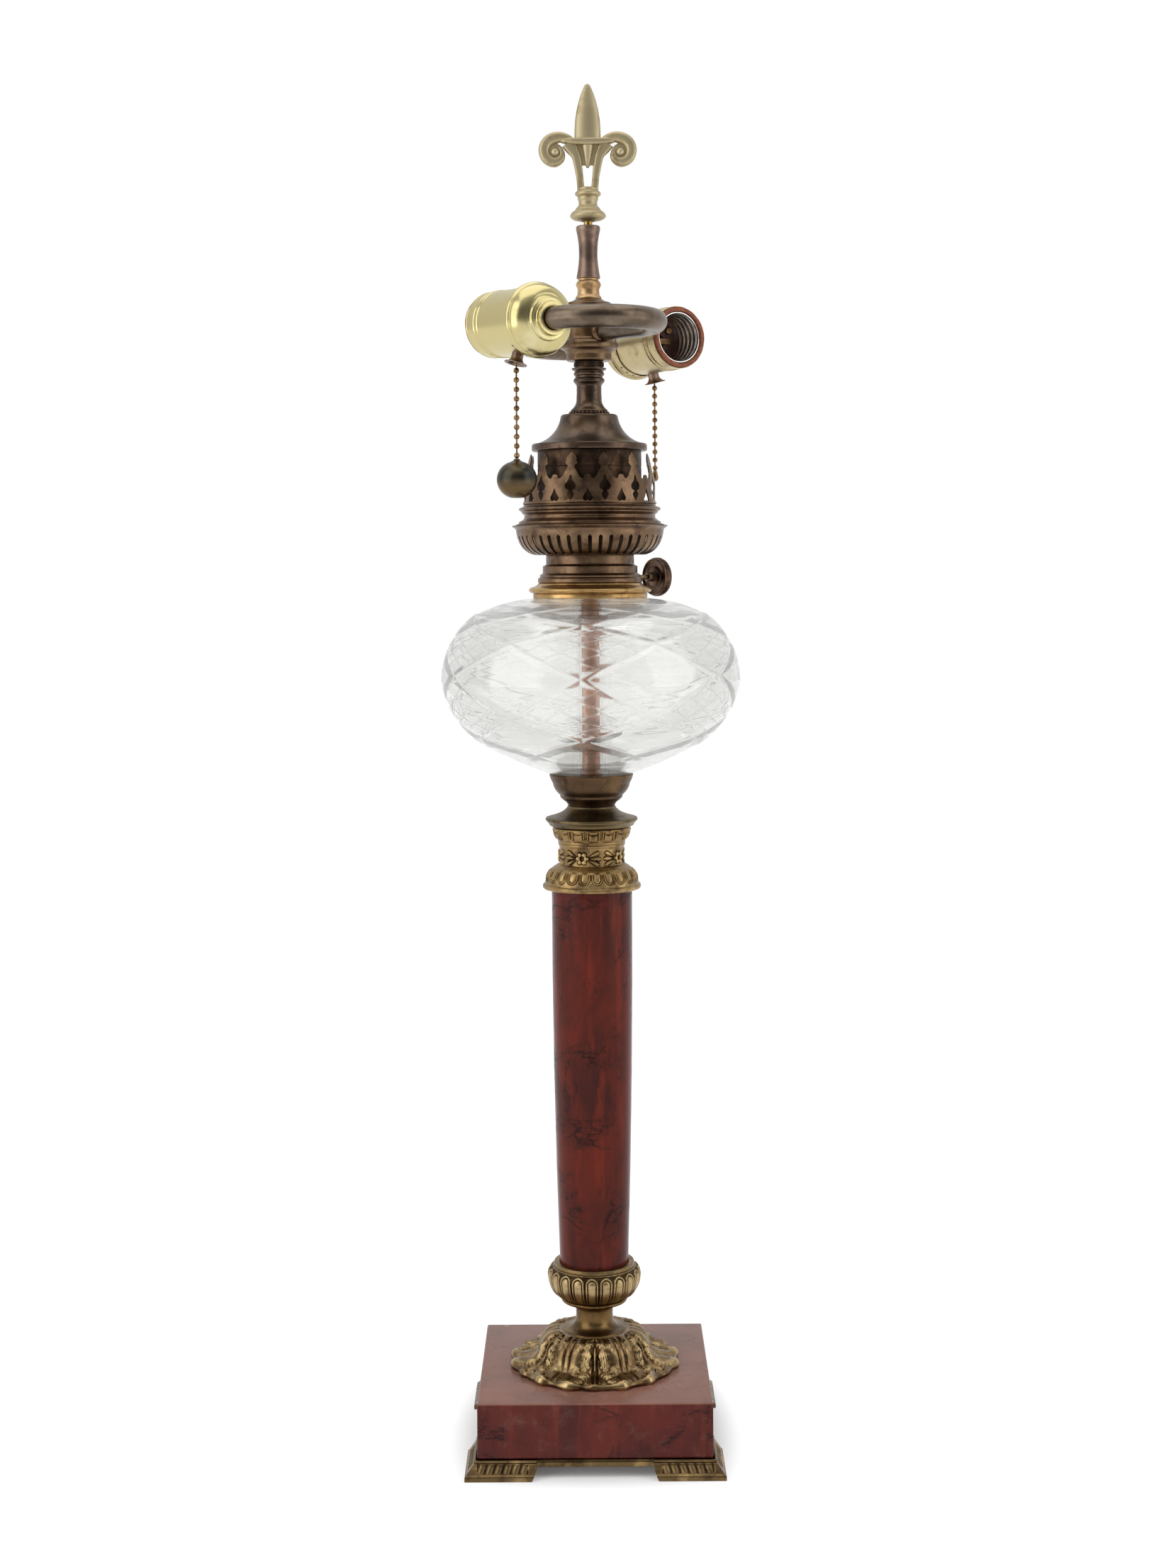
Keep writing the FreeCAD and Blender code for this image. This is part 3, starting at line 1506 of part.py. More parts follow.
faults = [item.Label for item in doc.Objects if {"Invalid", "Error"} & set(item.State)]
for part in PARTS:
    if part.Shape.isNull() or not part.Shape.isValid():
        faults.append(part.Label)
if faults:
    raise RuntimeError(f"these did not build: {faults}")
os.makedirs("parts", exist_ok=True)
for part in PARTS:
    part.Shape.exportStep(f"parts/{part.Label}.step")
    print(part.Label, len(part.Shape.Solids), round(part.Shape.Volume, 1), part.Shape.BoundBox)
print("lamp height", value(LAMP_HEIGHT))
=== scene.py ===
"""A tall fluid lamp: marble block and column in gilt mounts, cut-glass font, burner and socket cluster."""

import logging
import math
from dataclasses import dataclass, field, replace
from enum import Enum
from functools import lru_cache
from typing import Any, Callable, Optional, Sequence, Union

import bmesh
import bpy
import numpy as np
from mathutils import Matrix, Vector


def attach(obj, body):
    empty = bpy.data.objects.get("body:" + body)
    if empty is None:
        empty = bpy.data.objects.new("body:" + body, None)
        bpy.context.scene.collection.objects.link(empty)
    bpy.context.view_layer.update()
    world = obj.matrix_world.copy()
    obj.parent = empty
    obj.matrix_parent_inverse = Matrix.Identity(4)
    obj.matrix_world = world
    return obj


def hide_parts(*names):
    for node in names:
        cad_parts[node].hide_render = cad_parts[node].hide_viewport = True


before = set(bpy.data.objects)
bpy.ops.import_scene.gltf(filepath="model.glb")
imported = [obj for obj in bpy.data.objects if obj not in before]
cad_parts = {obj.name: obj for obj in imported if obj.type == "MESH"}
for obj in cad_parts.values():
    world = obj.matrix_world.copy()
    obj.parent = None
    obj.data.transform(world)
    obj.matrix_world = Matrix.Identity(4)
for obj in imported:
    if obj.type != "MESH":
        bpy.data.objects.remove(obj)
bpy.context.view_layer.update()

MM = 0.001
# A point no further than this from the axis, in mm, lies on it
AXIS = 1e-6
# Crest of ground that stands neither proud nor sunk
GROUND = 0.55
# Radii in mm of the bores round the pipe and round the finial's stud
BORE = 4.9
STUD_BORE = 2.4
WHITE = (1.0, 1.0, 1.0, 1.0)
Point = tuple[float, ...]
Relief = Callable[[np.ndarray, np.ndarray, np.ndarray], np.ndarray]
Given = Optional[dict]
logging.basicConfig(level=logging.INFO, format="%(message)s")
LOG = logging.getLogger("fluid_lamp")


class Body(Enum):
    """The rigid bodies that the pieces ride on."""

    LAMP = "lamp"
    WICK = "wick_knob"
    FINIAL = "finial"
    NEAR_PULL = "near_pull"
    NEAR_CHAIN = "near_chain"
    FAR_PULL = "far_pull"
    FAR_CHAIN = "far_chain"


class Side(Enum):
    """The two arms of the cluster, each with its turn in degrees."""

    NEAR = 180.0
    FAR = 0.0

    @property
    def word(self) -> str:
        """The name that this arm's nodes start with."""
        return self.name.lower()


def srgb(code: str) -> Point:
    """Turns a colour's hex text into the linear colour that shaders take.

    Args:
        code: Red, green and blue, as two hex digits each.

    Returns:
        The linear colour with full alpha.
    """
    shares = [int(code[start : start + 2], 16) / 255 for start in (0, 2, 4)]
    linear = [share / 12.92 if share <= 0.04045 else ((share + 0.055) / 1.055) ** 2.4 for share in shares]
    return (*linear, 1.0)


# Materials


class Wire:
    """An output socket that can stand in Python sums; each operator adds its Math node."""

    def __init__(self, recipe: "Recipe", socket: bpy.types.NodeSocket) -> None:
        """Keeps the recipe and the socket."""
        self.recipe = recipe
        self.socket = socket

    def _math(self, operation: str, *values: Any) -> "Wire":
        """Adds one Math node over these values."""
        inputs = dict(enumerate(values))
        return self.recipe.wire("ShaderNodeMath", {"operation": operation}, inputs)

    def __add__(self, other: Any) -> "Wire":
        """Sum."""
        return self._math("ADD", self, other)

    __radd__ = __add__

    def __sub__(self, other: Any) -> "Wire":
        """Difference."""
        return self._math("SUBTRACT", self, other)

    def __rsub__(self, other: Any) -> "Wire":
        """Difference from a number."""
        return self._math("SUBTRACT", other, self)

    def __mul__(self, other: Any) -> "Wire":
        """Product."""
        return self._math("MULTIPLY", self, other)

    __rmul__ = __mul__

    def __abs__(self) -> "Wire":
        """Size without its sign."""
        return self._math("ABSOLUTE", self)

    def lower(self, other: Any) -> "Wire":
        """The lower of two."""
        return self._math("MINIMUM", self, other)

    def upper(self, other: Any) -> "Wire":
        """The higher of two."""
        return self._math("MAXIMUM", self, other)

    def floor(self) -> "Wire":
        """Whole part."""
        return self._math("FLOOR", self)

    def step(self, low: float, high: float) -> "Wire":
        """Eases from 0 at low to 1 at high."""
        inputs = {"Value": self, "From Min": low, "From Max": high}
        return self.recipe.wire("ShaderNodeMapRange", {"interpolation_type": "SMOOTHSTEP"}, inputs)


def add_node(
    tree: bpy.types.NodeTree, kind: str, settings: Given = None, inputs: Given = None
) -> bpy.types.Node:
    """Adds a node to a tree.

    Args:
        tree: The tree.
        kind: The node's type.
        settings: Its properties, set before its inputs.
        inputs: Numbers, wires, sockets or colours as hex text, by input name or index.

    Returns:
        The node.
    """
    made = tree.nodes.new(kind)
    for key, setting in (settings or {}).items():
        setattr(made, key, setting)
    for key, given in (inputs or {}).items():
        given = given.socket if isinstance(given, Wire) else given
        if isinstance(given, bpy.types.NodeSocket):
            tree.links.new(given, made.inputs[key])
        else:
            made.inputs[key].default_value = srgb(given) if isinstance(given, str) else given
    return made


class Recipe:
    """The node tree of a material or a world while it is being written."""

    def __init__(self, owner: Union[bpy.types.Material, bpy.types.World]) -> None:
        """Empties the tree of its owner.

        Args:
            owner: The material or the world.
        """
        owner.use_nodes = True
        self.owner = owner
        self.tree = owner.node_tree
        self.tree.nodes.clear()

    def node(self, kind: str, settings: Given = None, inputs: Given = None) -> bpy.types.Node:
        """Adds a node, as add_node does."""
        return add_node(self.tree, kind, settings, inputs)

    def wire(
        self, kind: str, settings: Given = None, inputs: Given = None, output: Union[int, str] = 0
    ) -> Wire:
        """Adds a node and wraps one of its outputs."""
        return Wire(self, self.node(kind, settings, inputs).outputs[output])

    def place(self, stretch: Point = (1.0, 1.0, 1.0)) -> Wire:
        """Object coordinates in metres, stretched along each axis."""
        where = self.wire("ShaderNodeTexCoord", output="Object")
        return self.wire("ShaderNodeMapping", inputs={"Vector": where, "Scale": stretch})

    def part(self, where: Wire, axis: str) -> Wire:
        """One coordinate of a place."""
        return self.wire("ShaderNodeSeparateXYZ", inputs={0: where}, output=axis)

    def ray(self, kind: str) -> Wire:
        """Whether a ray is of a kind, such as Camera."""
        return self.wire("ShaderNodeLightPath", output=f"Is {kind} Ray")

    def noise(self, where: Wire, size_mm: float, detail: float, rough: float, warp: float = 0.0) -> Wire:
        """Adds noise with features about this wide in mm; warp bends it."""
        inputs = {"Vector": where, "Scale": 1.0 / (size_mm * MM), "Detail": detail, "Roughness": rough}
        return self.wire("ShaderNodeTexNoise", inputs={**inputs, "Distortion": warp})

    def spots(self, where: Wire, scale: float, feature: str) -> Wire:
        """Distances of a cell pattern: F1 from the cells' middles, DISTANCE_TO_EDGE from their walls."""
        inputs = {"Vector": where, "Scale": scale, "Randomness": 1.0}
        return self.wire("ShaderNodeTexVoronoi", {"feature": feature}, inputs, "Distance")

    def mix(self, share: Any, first: Any, second: Any) -> Wire:
        """Mixes two colours by a share."""
        return self.wire("ShaderNodeMix", {"data_type": "RGBA"}, {0: share, 6: first, 7: second}, output=2)

    def bump(self, height: Wire, depth_mm: float, under: Optional[Wire] = None) -> Wire:
        """Adds a bump.

        Args:
            height: Its height, from 0 to 1.
            depth_mm: How deep it is.
            under: A bump that it lies on.

        Returns:
            The bumped normal.
        """
        inputs = {"Height": height, "Distance": depth_mm * MM, "Strength": 1.0}
        if under is not None:
            inputs["Normal"] = under
        return self.wire("ShaderNodeBump", inputs=inputs)

    def warp(self, where: Wire, size_mm: float, reach: float) -> Wire:
        """Pushes coordinates about by coloured noise, so that straight cell walls turn jagged.

        Args:
            where: The coordinates.
            size_mm: About how wide the noise's features are.
            reach: How far it pushes, in metres.

        Returns:
            The pushed coordinates.
        """
        inputs = {"Vector": where, "Scale": 1.0 / (size_mm * MM), "Detail": 5.0}
        push = self.wire("ShaderNodeTexNoise", inputs=inputs, output=1)
        scaled = self.wire("ShaderNodeVectorMath", {"operation": "SCALE"}, {0: push, "Scale": reach})
        return self.wire("ShaderNodeVectorMath", {"operation": "ADD"}, {0: where, 1: scaled})

    def vein(self, where: Wire, size_mm: float, width: float, gate_mm: float, open_at: float) -> Wire:
        """Adds a wandering line where a noise crosses its middle, broken off by a second noise.

        Args:
            where: The coordinates that it follows.
            size_mm: About how far apart its turns are.
            width: Its width, as a share of the noise's range.
            gate_mm: About how long its stretches are.
            open_at: The second noise's value from which it shows.

        Returns:
            1 on the line and 0 away from it.
        """
        line = self.noise(where, size_mm, 6.0, 0.62, 0.35)
        gate = self.noise(where, gate_mm, 2.0, 0.5).step(open_at, open_at + 0.1)
        return (1 - abs(line - 0.5).step(width * 0.25, width)) * gate

    def close(self, inputs: dict, veil: float = 0.0) -> bpy.types.Material:
        """Ends the tree in a Principled shader.

        Args:
            inputs: The shader's inputs.
            veil: The share by which one sees straight through it.

        Returns:
            The material.
        """
        shader = self.node("ShaderNodeBsdfPrincipled", inputs=inputs)
        if veil:
            air = self.node("ShaderNodeBsdfTransparent", inputs={0: (0.945, 0.945, 0.935, 1.0)})
            both = {0: veil, 1: shader.outputs[0], 2: air.outputs[0]}
            shader = self.node("ShaderNodeMixShader", inputs=both)
        self.node("ShaderNodeOutputMaterial", inputs={"Surface": shader.outputs[0]})
        return self.owner


class Finish:
    """What a piece's surface is made of. Each kind writes its own material once."""

    slot: str

    def material(self) -> bpy.types.Material:
        """The material of this finish."""
        raise NotImplementedError


@dataclass(frozen=True)
class AgedMetal(Finish):
    """Metal with patina in blotches and specks, wear and a painted highlight where the relief stands proud,
    painted sheen in random patches, and grime with painted shade in its hollows.
    """

    name: str
    slot: str
    metal: str
    patina: str
    bright: str
    patina_share: float
    blotch_mm: float
    rough_low: float
    rough_high: float
    grain_mm: float
    dark_speck_and_shade: str
    speck_share: float
    carved: bool = False
    tint: Optional[str] = None
    fade: Optional[tuple] = None

    @lru_cache(maxsize=None)
    def material(self) -> bpy.types.Material:
        """Writes the material.

        Returns:
            The new material.
        """
        recipe = Recipe(bpy.data.materials.new(self.name))
        where = recipe.place()
        blotch = recipe.noise(where, self.blotch_mm, 6.0, 0.62, 0.4)
        fine = recipe.noise(where, 0.9, 3.0, 0.6)
        cast = recipe.noise(where, 2.6, 5.0, 0.6)
        share = blotch.step(0.72 - 0.5 * self.patina_share, 0.86 - 0.45 * self.patina_share)
        tone = recipe.mix(share * 0.85, self.metal, self.patina)
        # Above the fade heights the metal takes the patina tone: painted shade darkening the top
        if self.fade:
            above = recipe.part(where, "Z").step(*self.fade)
            tone = recipe.mix(above, recipe.mix(share * 0.3, self.metal, self.patina), self.patina)
        # Random patches take the polish tone: painted sheen
        painted_sheen = recipe.noise(where, self.blotch_mm * 1.7, 4.0, 0.5).step(0.52, 0.75)
        tone = recipe.mix(painted_sheen * 0.55, tone, self.bright)
        if self.tint:
            green = recipe.noise(where, self.blotch_mm * 2.2, 5.0, 0.65).step(0.60, 0.70)
            tone = recipe.mix(green * 0.5, tone, self.tint)
        specks = (cast * 0.5 + fine * 0.5).step(0.60, 0.66) * self.speck_share
        if self.carved:
            crest = recipe.wire("ShaderNodeAttribute", {"attribute_name": "crest"}, output="Fac")
            hollow = 1 - crest.step(0.08, 0.5)
            # Proud relief takes the polish tone: wear, and a painted highlight on the ridges
            wear_and_sheen = crest.step(0.62, 0.95) * (0.45 + cast * 0.6)
            tone = recipe.mix(wear_and_sheen.lower(0.9) * 0.8, tone, self.bright)
            # Hollows take the speck tone: grime, and painted shade where the relief is sunk
            tone = recipe.mix((hollow * (0.62 + blotch * 0.5)).lower(0.95), tone, self.dark_speck_and_shade)
        tone = recipe.mix(specks, tone, self.dark_speck_and_shade)
        span = self.rough_high - self.rough_low
        rough = self.rough_low + (blotch * 0.6 + fine * 0.4) * span + specks * 0.3
        raised = recipe.bump(cast * 0.6 + fine * 0.4, self.grain_mm)
        return recipe.close({"Base Color": tone, "Metallic": 1.0, "Roughness": rough, "Normal": raised})


@dataclass(frozen=True)
class RedMarble(Finish):
    """Polished red marble with dark jagged seams, upright streaks and pale flecks."""

    name: str
    slot: str
    body: str
    deep: str
    warm: str
    seam: str
    fleck: str
    rough: float = 0.2
    dust: float = 0.0
    shine: float = 0.11
    sheen_above: float = 1.0

    @lru_cache(maxsize=None)
    def material(self) -> bpy.types.Material:
        """Writes the material.

        Returns:
            The new material.
        """
        recipe = Recipe(bpy.data.materials.new(self.name))
        where = recipe.place()
        cloud = recipe.noise(recipe.place((1.0, 1.0, 0.45)), 30.0, 5.0, 0.6, 0.6)
        streak = recipe.noise(recipe.place((1.0, 1.0, 0.12)), 6.5, 6.0, 0.62, 0.3)
        grain = recipe.noise(recipe.place((1.0, 1.0, 0.3)), 2.2, 5.0, 0.65)
        tone = recipe.mix(cloud.step(0.34, 0.62), self.deep, self.body)
        tone = recipe.mix(streak.step(0.48, 0.72) * 0.85, tone, self.warm)
        tone = recipe.mix(grain.step(0.52, 0.78) * 0.45, tone, self.deep)
        # Dark seams that hang and branch: long level ones, steep ones and hair cracks
        level = recipe.vein(recipe.place((0.7, 0.7, 1.4)), 34.0, 0.012, 48.0, 0.5)
        steep = recipe.vein(recipe.place((1.5, 1.5, 0.42)), 34.0, 0.010, 40.0, 0.49)
        hair = recipe.vein(recipe.place((1.2, 1.2, 0.8)), 22.0, 0.008, 30.0, 0.54)
        seam = level.upper(steep * 0.85).upper(hair * 0.55)
        edge = recipe.spots(recipe.warp(where, 9.0, 0.006), 27.0, "DISTANCE_TO_EDGE")
        crack = (1 - edge.step(0.004, 0.022)) * recipe.noise(where, 24.0, 3.0, 0.6).step(0.52, 0.64)
        halo = recipe.vein(recipe.place((0.7, 0.7, 1.4)), 34.0, 0.07, 48.0, 0.5)
        tone = recipe.mix(halo * 0.5, tone, self.deep)
        tone = recipe.mix(seam.upper(crack * 0.8) * 0.85, tone, self.seam)
        dot = recipe.spots(where, 62.0, "F1")
        sparse = recipe.noise(where, 17.0, 2.0, 0.5).step(0.60, 0.66)
        fleck = (1 - dot.step(0.05, 0.14)) * sparse
        tone = recipe.mix(fleck * 0.75, tone, self.fleck)
        scuff = recipe.noise(where, 12.0, 6.0, 0.7).step(0.5, 0.75)
        if self.dust:
            tone = recipe.mix(scuff * self.dust, tone, self.fleck)
        # The top face is painted paler: a painted reflection of the bright room at a grazing angle
        wear_and_sheen = recipe.part(where, "Z").step(self.sheen_above - 0.0008, self.sheen_above)
        tone = recipe.mix(wear_and_sheen * (0.2 + cloud * 0.32), tone, self.fleck)
        rough = self.rough + scuff * 0.12 + seam * 0.2
        raised = recipe.bump(1 - seam, 0.05, recipe.bump(grain, 0.012))
        inputs = {"Base Color": tone, "Roughness": rough, "Normal": raised}
        return recipe.close({**inputs, "IOR": 1.5, "Specular IOR Level": self.shine})


@dataclass(frozen=True)
class ClearGlass(Finish):
    """Clear glass; where it is cut, the font's own map places the fine cross-cuts."""

    name: str
    slot: str
    tint: tuple
    cut: bool = False
    rough: float = 0.0
    index: float = 1.5
    veil: float = 0.0

    @lru_cache(maxsize=None)
    def material(self) -> bpy.types.Material:
        """Writes the material.

        Returns:
            The new material.
        """
        recipe = Recipe(bpy.data.materials.new(self.name))
        inputs = {"Base Color": self.tint, "Roughness": self.rough, "IOR": self.index}
        inputs["Transmission Weight"] = 1.0
        if self.cut:
            place = recipe.wire("ShaderNodeUVMap", {"uv_map": "cuts"})
            first, second = recipe.part(place, "X"), recipe.part(place, "Y")
            apart = abs(abs(second.floor() - first.floor()) - 1)
            hatched = 1 - apart.step(0.2, 0.4)
            depth = None
            for way in (first, second):
                fine = abs(way * 4 - (way * 4 + 0.5).floor())
                groove = (1 - fine.step(0.0, 0.15)) * hatched
                depth = groove if depth is None else depth.upper(groove)
            inputs["Normal"] = recipe.bump(1 - depth, 0.09)
            inputs["Roughness"] = depth * 0.3 + self.rough
        return recipe.close(inputs, self.veil)


@dataclass(frozen=True)
class PlainStuff(Finish):
    """Board, phenolic or plain steel: a mottled colour with a fine grain."""

    name: str
    slot: str
    tone: str
    dark: str
    rough: float = 0.6
    metallic: float = 0.0
    grain_mm: float = 0.08
    mottle_mm: float = 3.0

    @lru_cache(maxsize=None)
    def material(self) -> bpy.types.Material:
        """Writes the material.

        Returns:
            The new material.
        """
        recipe = Recipe(bpy.data.materials.new(self.name))
        where = recipe.place()
        mottle = recipe.noise(where, self.mottle_mm, 6.0, 0.65)
        fine = recipe.noise(where, 0.5, 3.0, 0.6)
        tone = recipe.mix(mottle.step(0.38, 0.66), self.tone, self.dark)
        rough = self.rough + (fine - 0.5) * 0.2
        raised = recipe.bump(mottle * 0.5 + fine * 0.5, self.grain_mm)
        inputs = {"Base Color": tone, "Roughness": rough, "Normal": raised}
        return recipe.close({**inputs, "Metallic": self.metallic})


# Each metal in order: name, slot, tones of metal, patina and polish (also painted on as sheen and highlight),
# share of patina, its blotches in mm, lowest and highest roughness, grain in mm, tone of the specks (also
# grime and painted shade in hollows) and their share
GILT = AgedMetal(
    "worn_gilt", "gilt_bronze", "7f6845", "52402b", "c4ad80", 0.45, 8.0, 0.26, 0.46, 0.06, "221810", 0.4,
    carved=True,
)
GILT_COLLAR = AgedMetal(
    "worn_gilt_collar", "gilt_bronze", "90764e", "54422e", "ceb27e", 0.5, 8.0, 0.26, 0.48, 0.07, "1e1814",
    0.5, carved=True,
)
GILT_DARK = AgedMetal(
    "dark_cast_gilt", "gilt_bronze", "6a563a", "4a3a28", "b89a68", 0.5, 7.0, 0.2, 0.42, 0.10, "1a120c",
    0.45, carved=True,
)
GILT_LEAF = AgedMetal(
    "cast_leaf_gilt", "gilt_bronze", "7c6445", "5a4832", "c8ae7e", 0.5, 7.0, 0.18, 0.36, 0.05, "32261a",
    0.3, carved=True,
)
GILT_PLAIN = AgedMetal(
    "worn_gilt_plain", "gilt_bronze", "725a38", "4e3c26", "ac9062", 0.45, 10.0, 0.24, 0.44, 0.04, "1e160e",
    0.35,
)
GILT_OLIVE = AgedMetal(
    "olive_gilt", "gilt_bronze", "685a40", "463a2c", "9e8a62", 0.5, 11.0, 0.28, 0.5, 0.05, "1e1812", 0.4,
)
GILT_BROWN = AgedMetal(
    "brown_gilt", "gilt_bronze", "564230", "362a22", "826644", 0.5, 12.0, 0.28, 0.5, 0.05, "1c1410", 0.4,
)
ANTIQUE = AgedMetal(
    "antique_brass", "antique_brass", "705945", "4c3b30", "a28664", 0.5, 9.0, 0.22, 0.44, 0.03, "221913",
    0.3,
)
BRIGHT = AgedMetal(
    "bright_collar_brass", "bright_brass", "b6935f", "7e5f3c", "e6cd9a", 0.4, 10.0, 0.18, 0.4, 0.03,
    "322414", 0.35,
)
DARK = AgedMetal(
    "dark_drum_brass", "dark_brass", "48372c", "2c221c", "6e5640", 0.6, 8.0, 0.35, 0.6, 0.04, "120e0c", 0.4,
)
CONE = AgedMetal(
    "cone_brass", "antique_brass", "5c4c40", "40342c", "86725c", 0.55, 10.0, 0.24, 0.44, 0.03, "201914",
    0.3,
)
COPPER = AgedMetal(
    "coppery_arm", "copper_brass", "726456", "5a4e42", "a49684", 0.5, 16.0, 0.24, 0.4, 0.02, "32261e", 0.15,
)
SPOOL = AgedMetal(
    "spool_patina", "copper_brass", "867062", "625248", "bea692", 0.5, 12.0, 0.3, 0.5, 0.02, "302420", 0.2,
)
PIPE = AgedMetal(
    "copper_pipe", "copper_brass", "b27e62", "885c46", "d4aa8c", 0.5, 14.0, 0.35, 0.55, 0.04, "3c261c", 0.3,
)
HUB = AgedMetal(
    "hub_brass", "antique_brass", "725c46", "503e30", "a48a68", 0.5, 10.0, 0.26, 0.46, 0.03, "281e18", 0.25,
    tint="5c6e58",
)
PALE = AgedMetal(
    "pale_finial_brass", "pale_brass", "b6a886", "9c8c6a", "c4b898", 0.4, 7.0, 0.46, 0.56, 0.004, "78623a",
    0.08, carved=True,
)
SOCKET = AgedMetal(
    "socket_sheet_brass", "socket_brass", "c8bb86", "b0a06a", "e8e0ba", 0.3, 14.0, 0.18, 0.32, 0.03,
    "78683e", 0.1,
)
SOCKET_GREY = AgedMetal(
    "far_socket_brass", "socket_brass", "baaa82", "98845e", "e2d6b6", 0.4, 9.0, 0.2, 0.4, 0.04, "685838",
    0.22,
)
BEADS = AgedMetal(
    "bead_chain_brass", "copper_brass", "8c6e4a", "5c442e", "c4a470", 0.5, 3.0, 0.24, 0.44, 0.02, "281e16",
    0.3,
)
BALL = AgedMetal(
    "mottled_ball", "ball_metal", "645238", "2a3032", "766444", 0.4, 16.0, 0.28, 0.42, 0.02, "222220", 0.2,
)
KNOB = AgedMetal(
    "dark_knob_brass", "antique_brass", "5e493c", "40322a", "8a705c", 0.5, 9.0, 0.22, 0.4, 0.02, "1e1814",
    0.3,
)
SPOOL_BRASS = AgedMetal(
    "spool_brass", "copper_brass", "a98760", "775b42", "dfc092", 0.45, 9.0, 0.34, 0.5, 0.03, "3c2c20", 0.25,
)
THREAD = AgedMetal(
    "screw_shell_metal", "socket_brass", "d6d4d0", "aaa69e", "eeece8", 0.4, 8.0, 0.12, 0.28, 0.02, "5a5042",
    0.12,
)
STUD = AgedMetal(
    "stud_brass", "pale_brass", "b09254", "80643a", "d8be80", 0.4, 6.0, 0.22, 0.4, 0.03, "3c2c1a", 0.3,
)
STEEL = PlainStuff("plain_steel", "steel", "96928a", "68625a", 0.38, 1.0, 0.03)
FIBRE = PlainStuff("fibre_board", "fibre_board", "965434", "683824", 0.7, 0.0, 0.12, 2.2)
PHENOLIC = PlainStuff("dark_phenolic", "phenolic", "5c2e20", "341c16", 0.42, 0.0, 0.05)
COLUMN_MARBLE = RedMarble(
    "column_marble", "red_marble", "62241a", "3f1c18", "762c1c", "1e100f", "c4967c", 0.2,
)
BLOCK_MARBLE = RedMarble(
    "block_marble", "red_marble", "642821", "4a211e", "702e24", "261616", "ba9280", 0.2, 0.12, 0.14, 0.0368,
)
CUT_GLASS = ClearGlass("cut_glass", "cut_glass", (0.90, 0.90, 0.885, 1.0), True, 0.0, 1.42, 0.2)
SLEEVE = ClearGlass("clear_sleeve", "clear_tube", (0.97, 0.98, 0.98, 1.0))


# Shapes


@dataclass
class Surface:
    """A bare shape in millimetres: its points, its faces and how proud each point stands."""

    points: np.ndarray
    faces: list
    crest: Optional[np.ndarray] = None

    def moved(self, matrix: Matrix) -> "Surface":
        """The same shape put elsewhere by a matrix in millimetres."""
        grid = np.array(matrix)
        return Surface(self.points @ grid[:3, :3].T + grid[:3, 3], self.faces, self.crest)

    def mesh(self, name: str) -> bpy.types.Mesh:
        """A Blender mesh of this shape, in metres.

        Args:
            name: What it is called.

        Returns:
            The new mesh.
        """
        mesh = bpy.data.meshes.new(name)
        mesh.from_pydata((self.points * MM).tolist(), [], self.faces)
        if self.crest is not None:
            layer = mesh.attributes.new("crest", "FLOAT", "POINT")
            layer.data.foreach_set("value", self.crest.astype(np.float32))
        return mesh


def joined(parts: Sequence[Surface]) -> Surface:
    """Several shapes as one.

    Args:
        parts: The shapes.

    Returns:
        One shape that holds them all.
    """
    points, faces, crests, start = [], [], [], 0
    for part in parts:
        points.append(part.points)
        faces += [tuple(int(corner) + start for corner in face) for face in part.faces]
        crests.append(part.crest if part.crest is not None else np.full(len(part.points), GROUND))
        start += len(part.points)
    return Surface(np.vstack(points), faces, np.concatenate(crests))


def eased(amount: Any, low: float, high: float) -> np.ndarray:
    """Eases from 0 at low to 1 at high."""
    share = np.clip((np.asarray(amount, float) - low) / (high - low), 0, 1)
    return share * share * (3 - 2 * share)


def bell(offset: np.ndarray, width: float) -> np.ndarray:
    """A bell curve that is 1 in its middle and narrows with its width."""
    return np.exp(-((offset / width) ** 2))


def domed(share: np.ndarray) -> np.ndarray:
    """A round top that is 1 in its middle and 0 from 1 on."""
    return np.sqrt(np.clip(1 - share**2, 0, 1))


def window(amount: np.ndarray, low: float, full: float, fading: float, high: float) -> np.ndarray:
    """Eases from 0 at low to 1 at full, and from 1 at fading back to 0 at high."""
    return eased(amount, low, full) * (1 - eased(amount, fading, high))


def spun(degrees: float, axis: str = "Z") -> Matrix:
    """A turn about an axis."""
    return Matrix.Rotation(math.radians(degrees), 4, axis)


def moved_by(across: float, back: float, up: float) -> Matrix:
    """A move in mm."""
    return Matrix.Translation((across, back, up))


def lifted(low: float, rows: Sequence[Point]) -> list:
    """A profile whose heights are given from low."""
    return [(radius, low + height, *bulge) for radius, height, *bulge in rows]


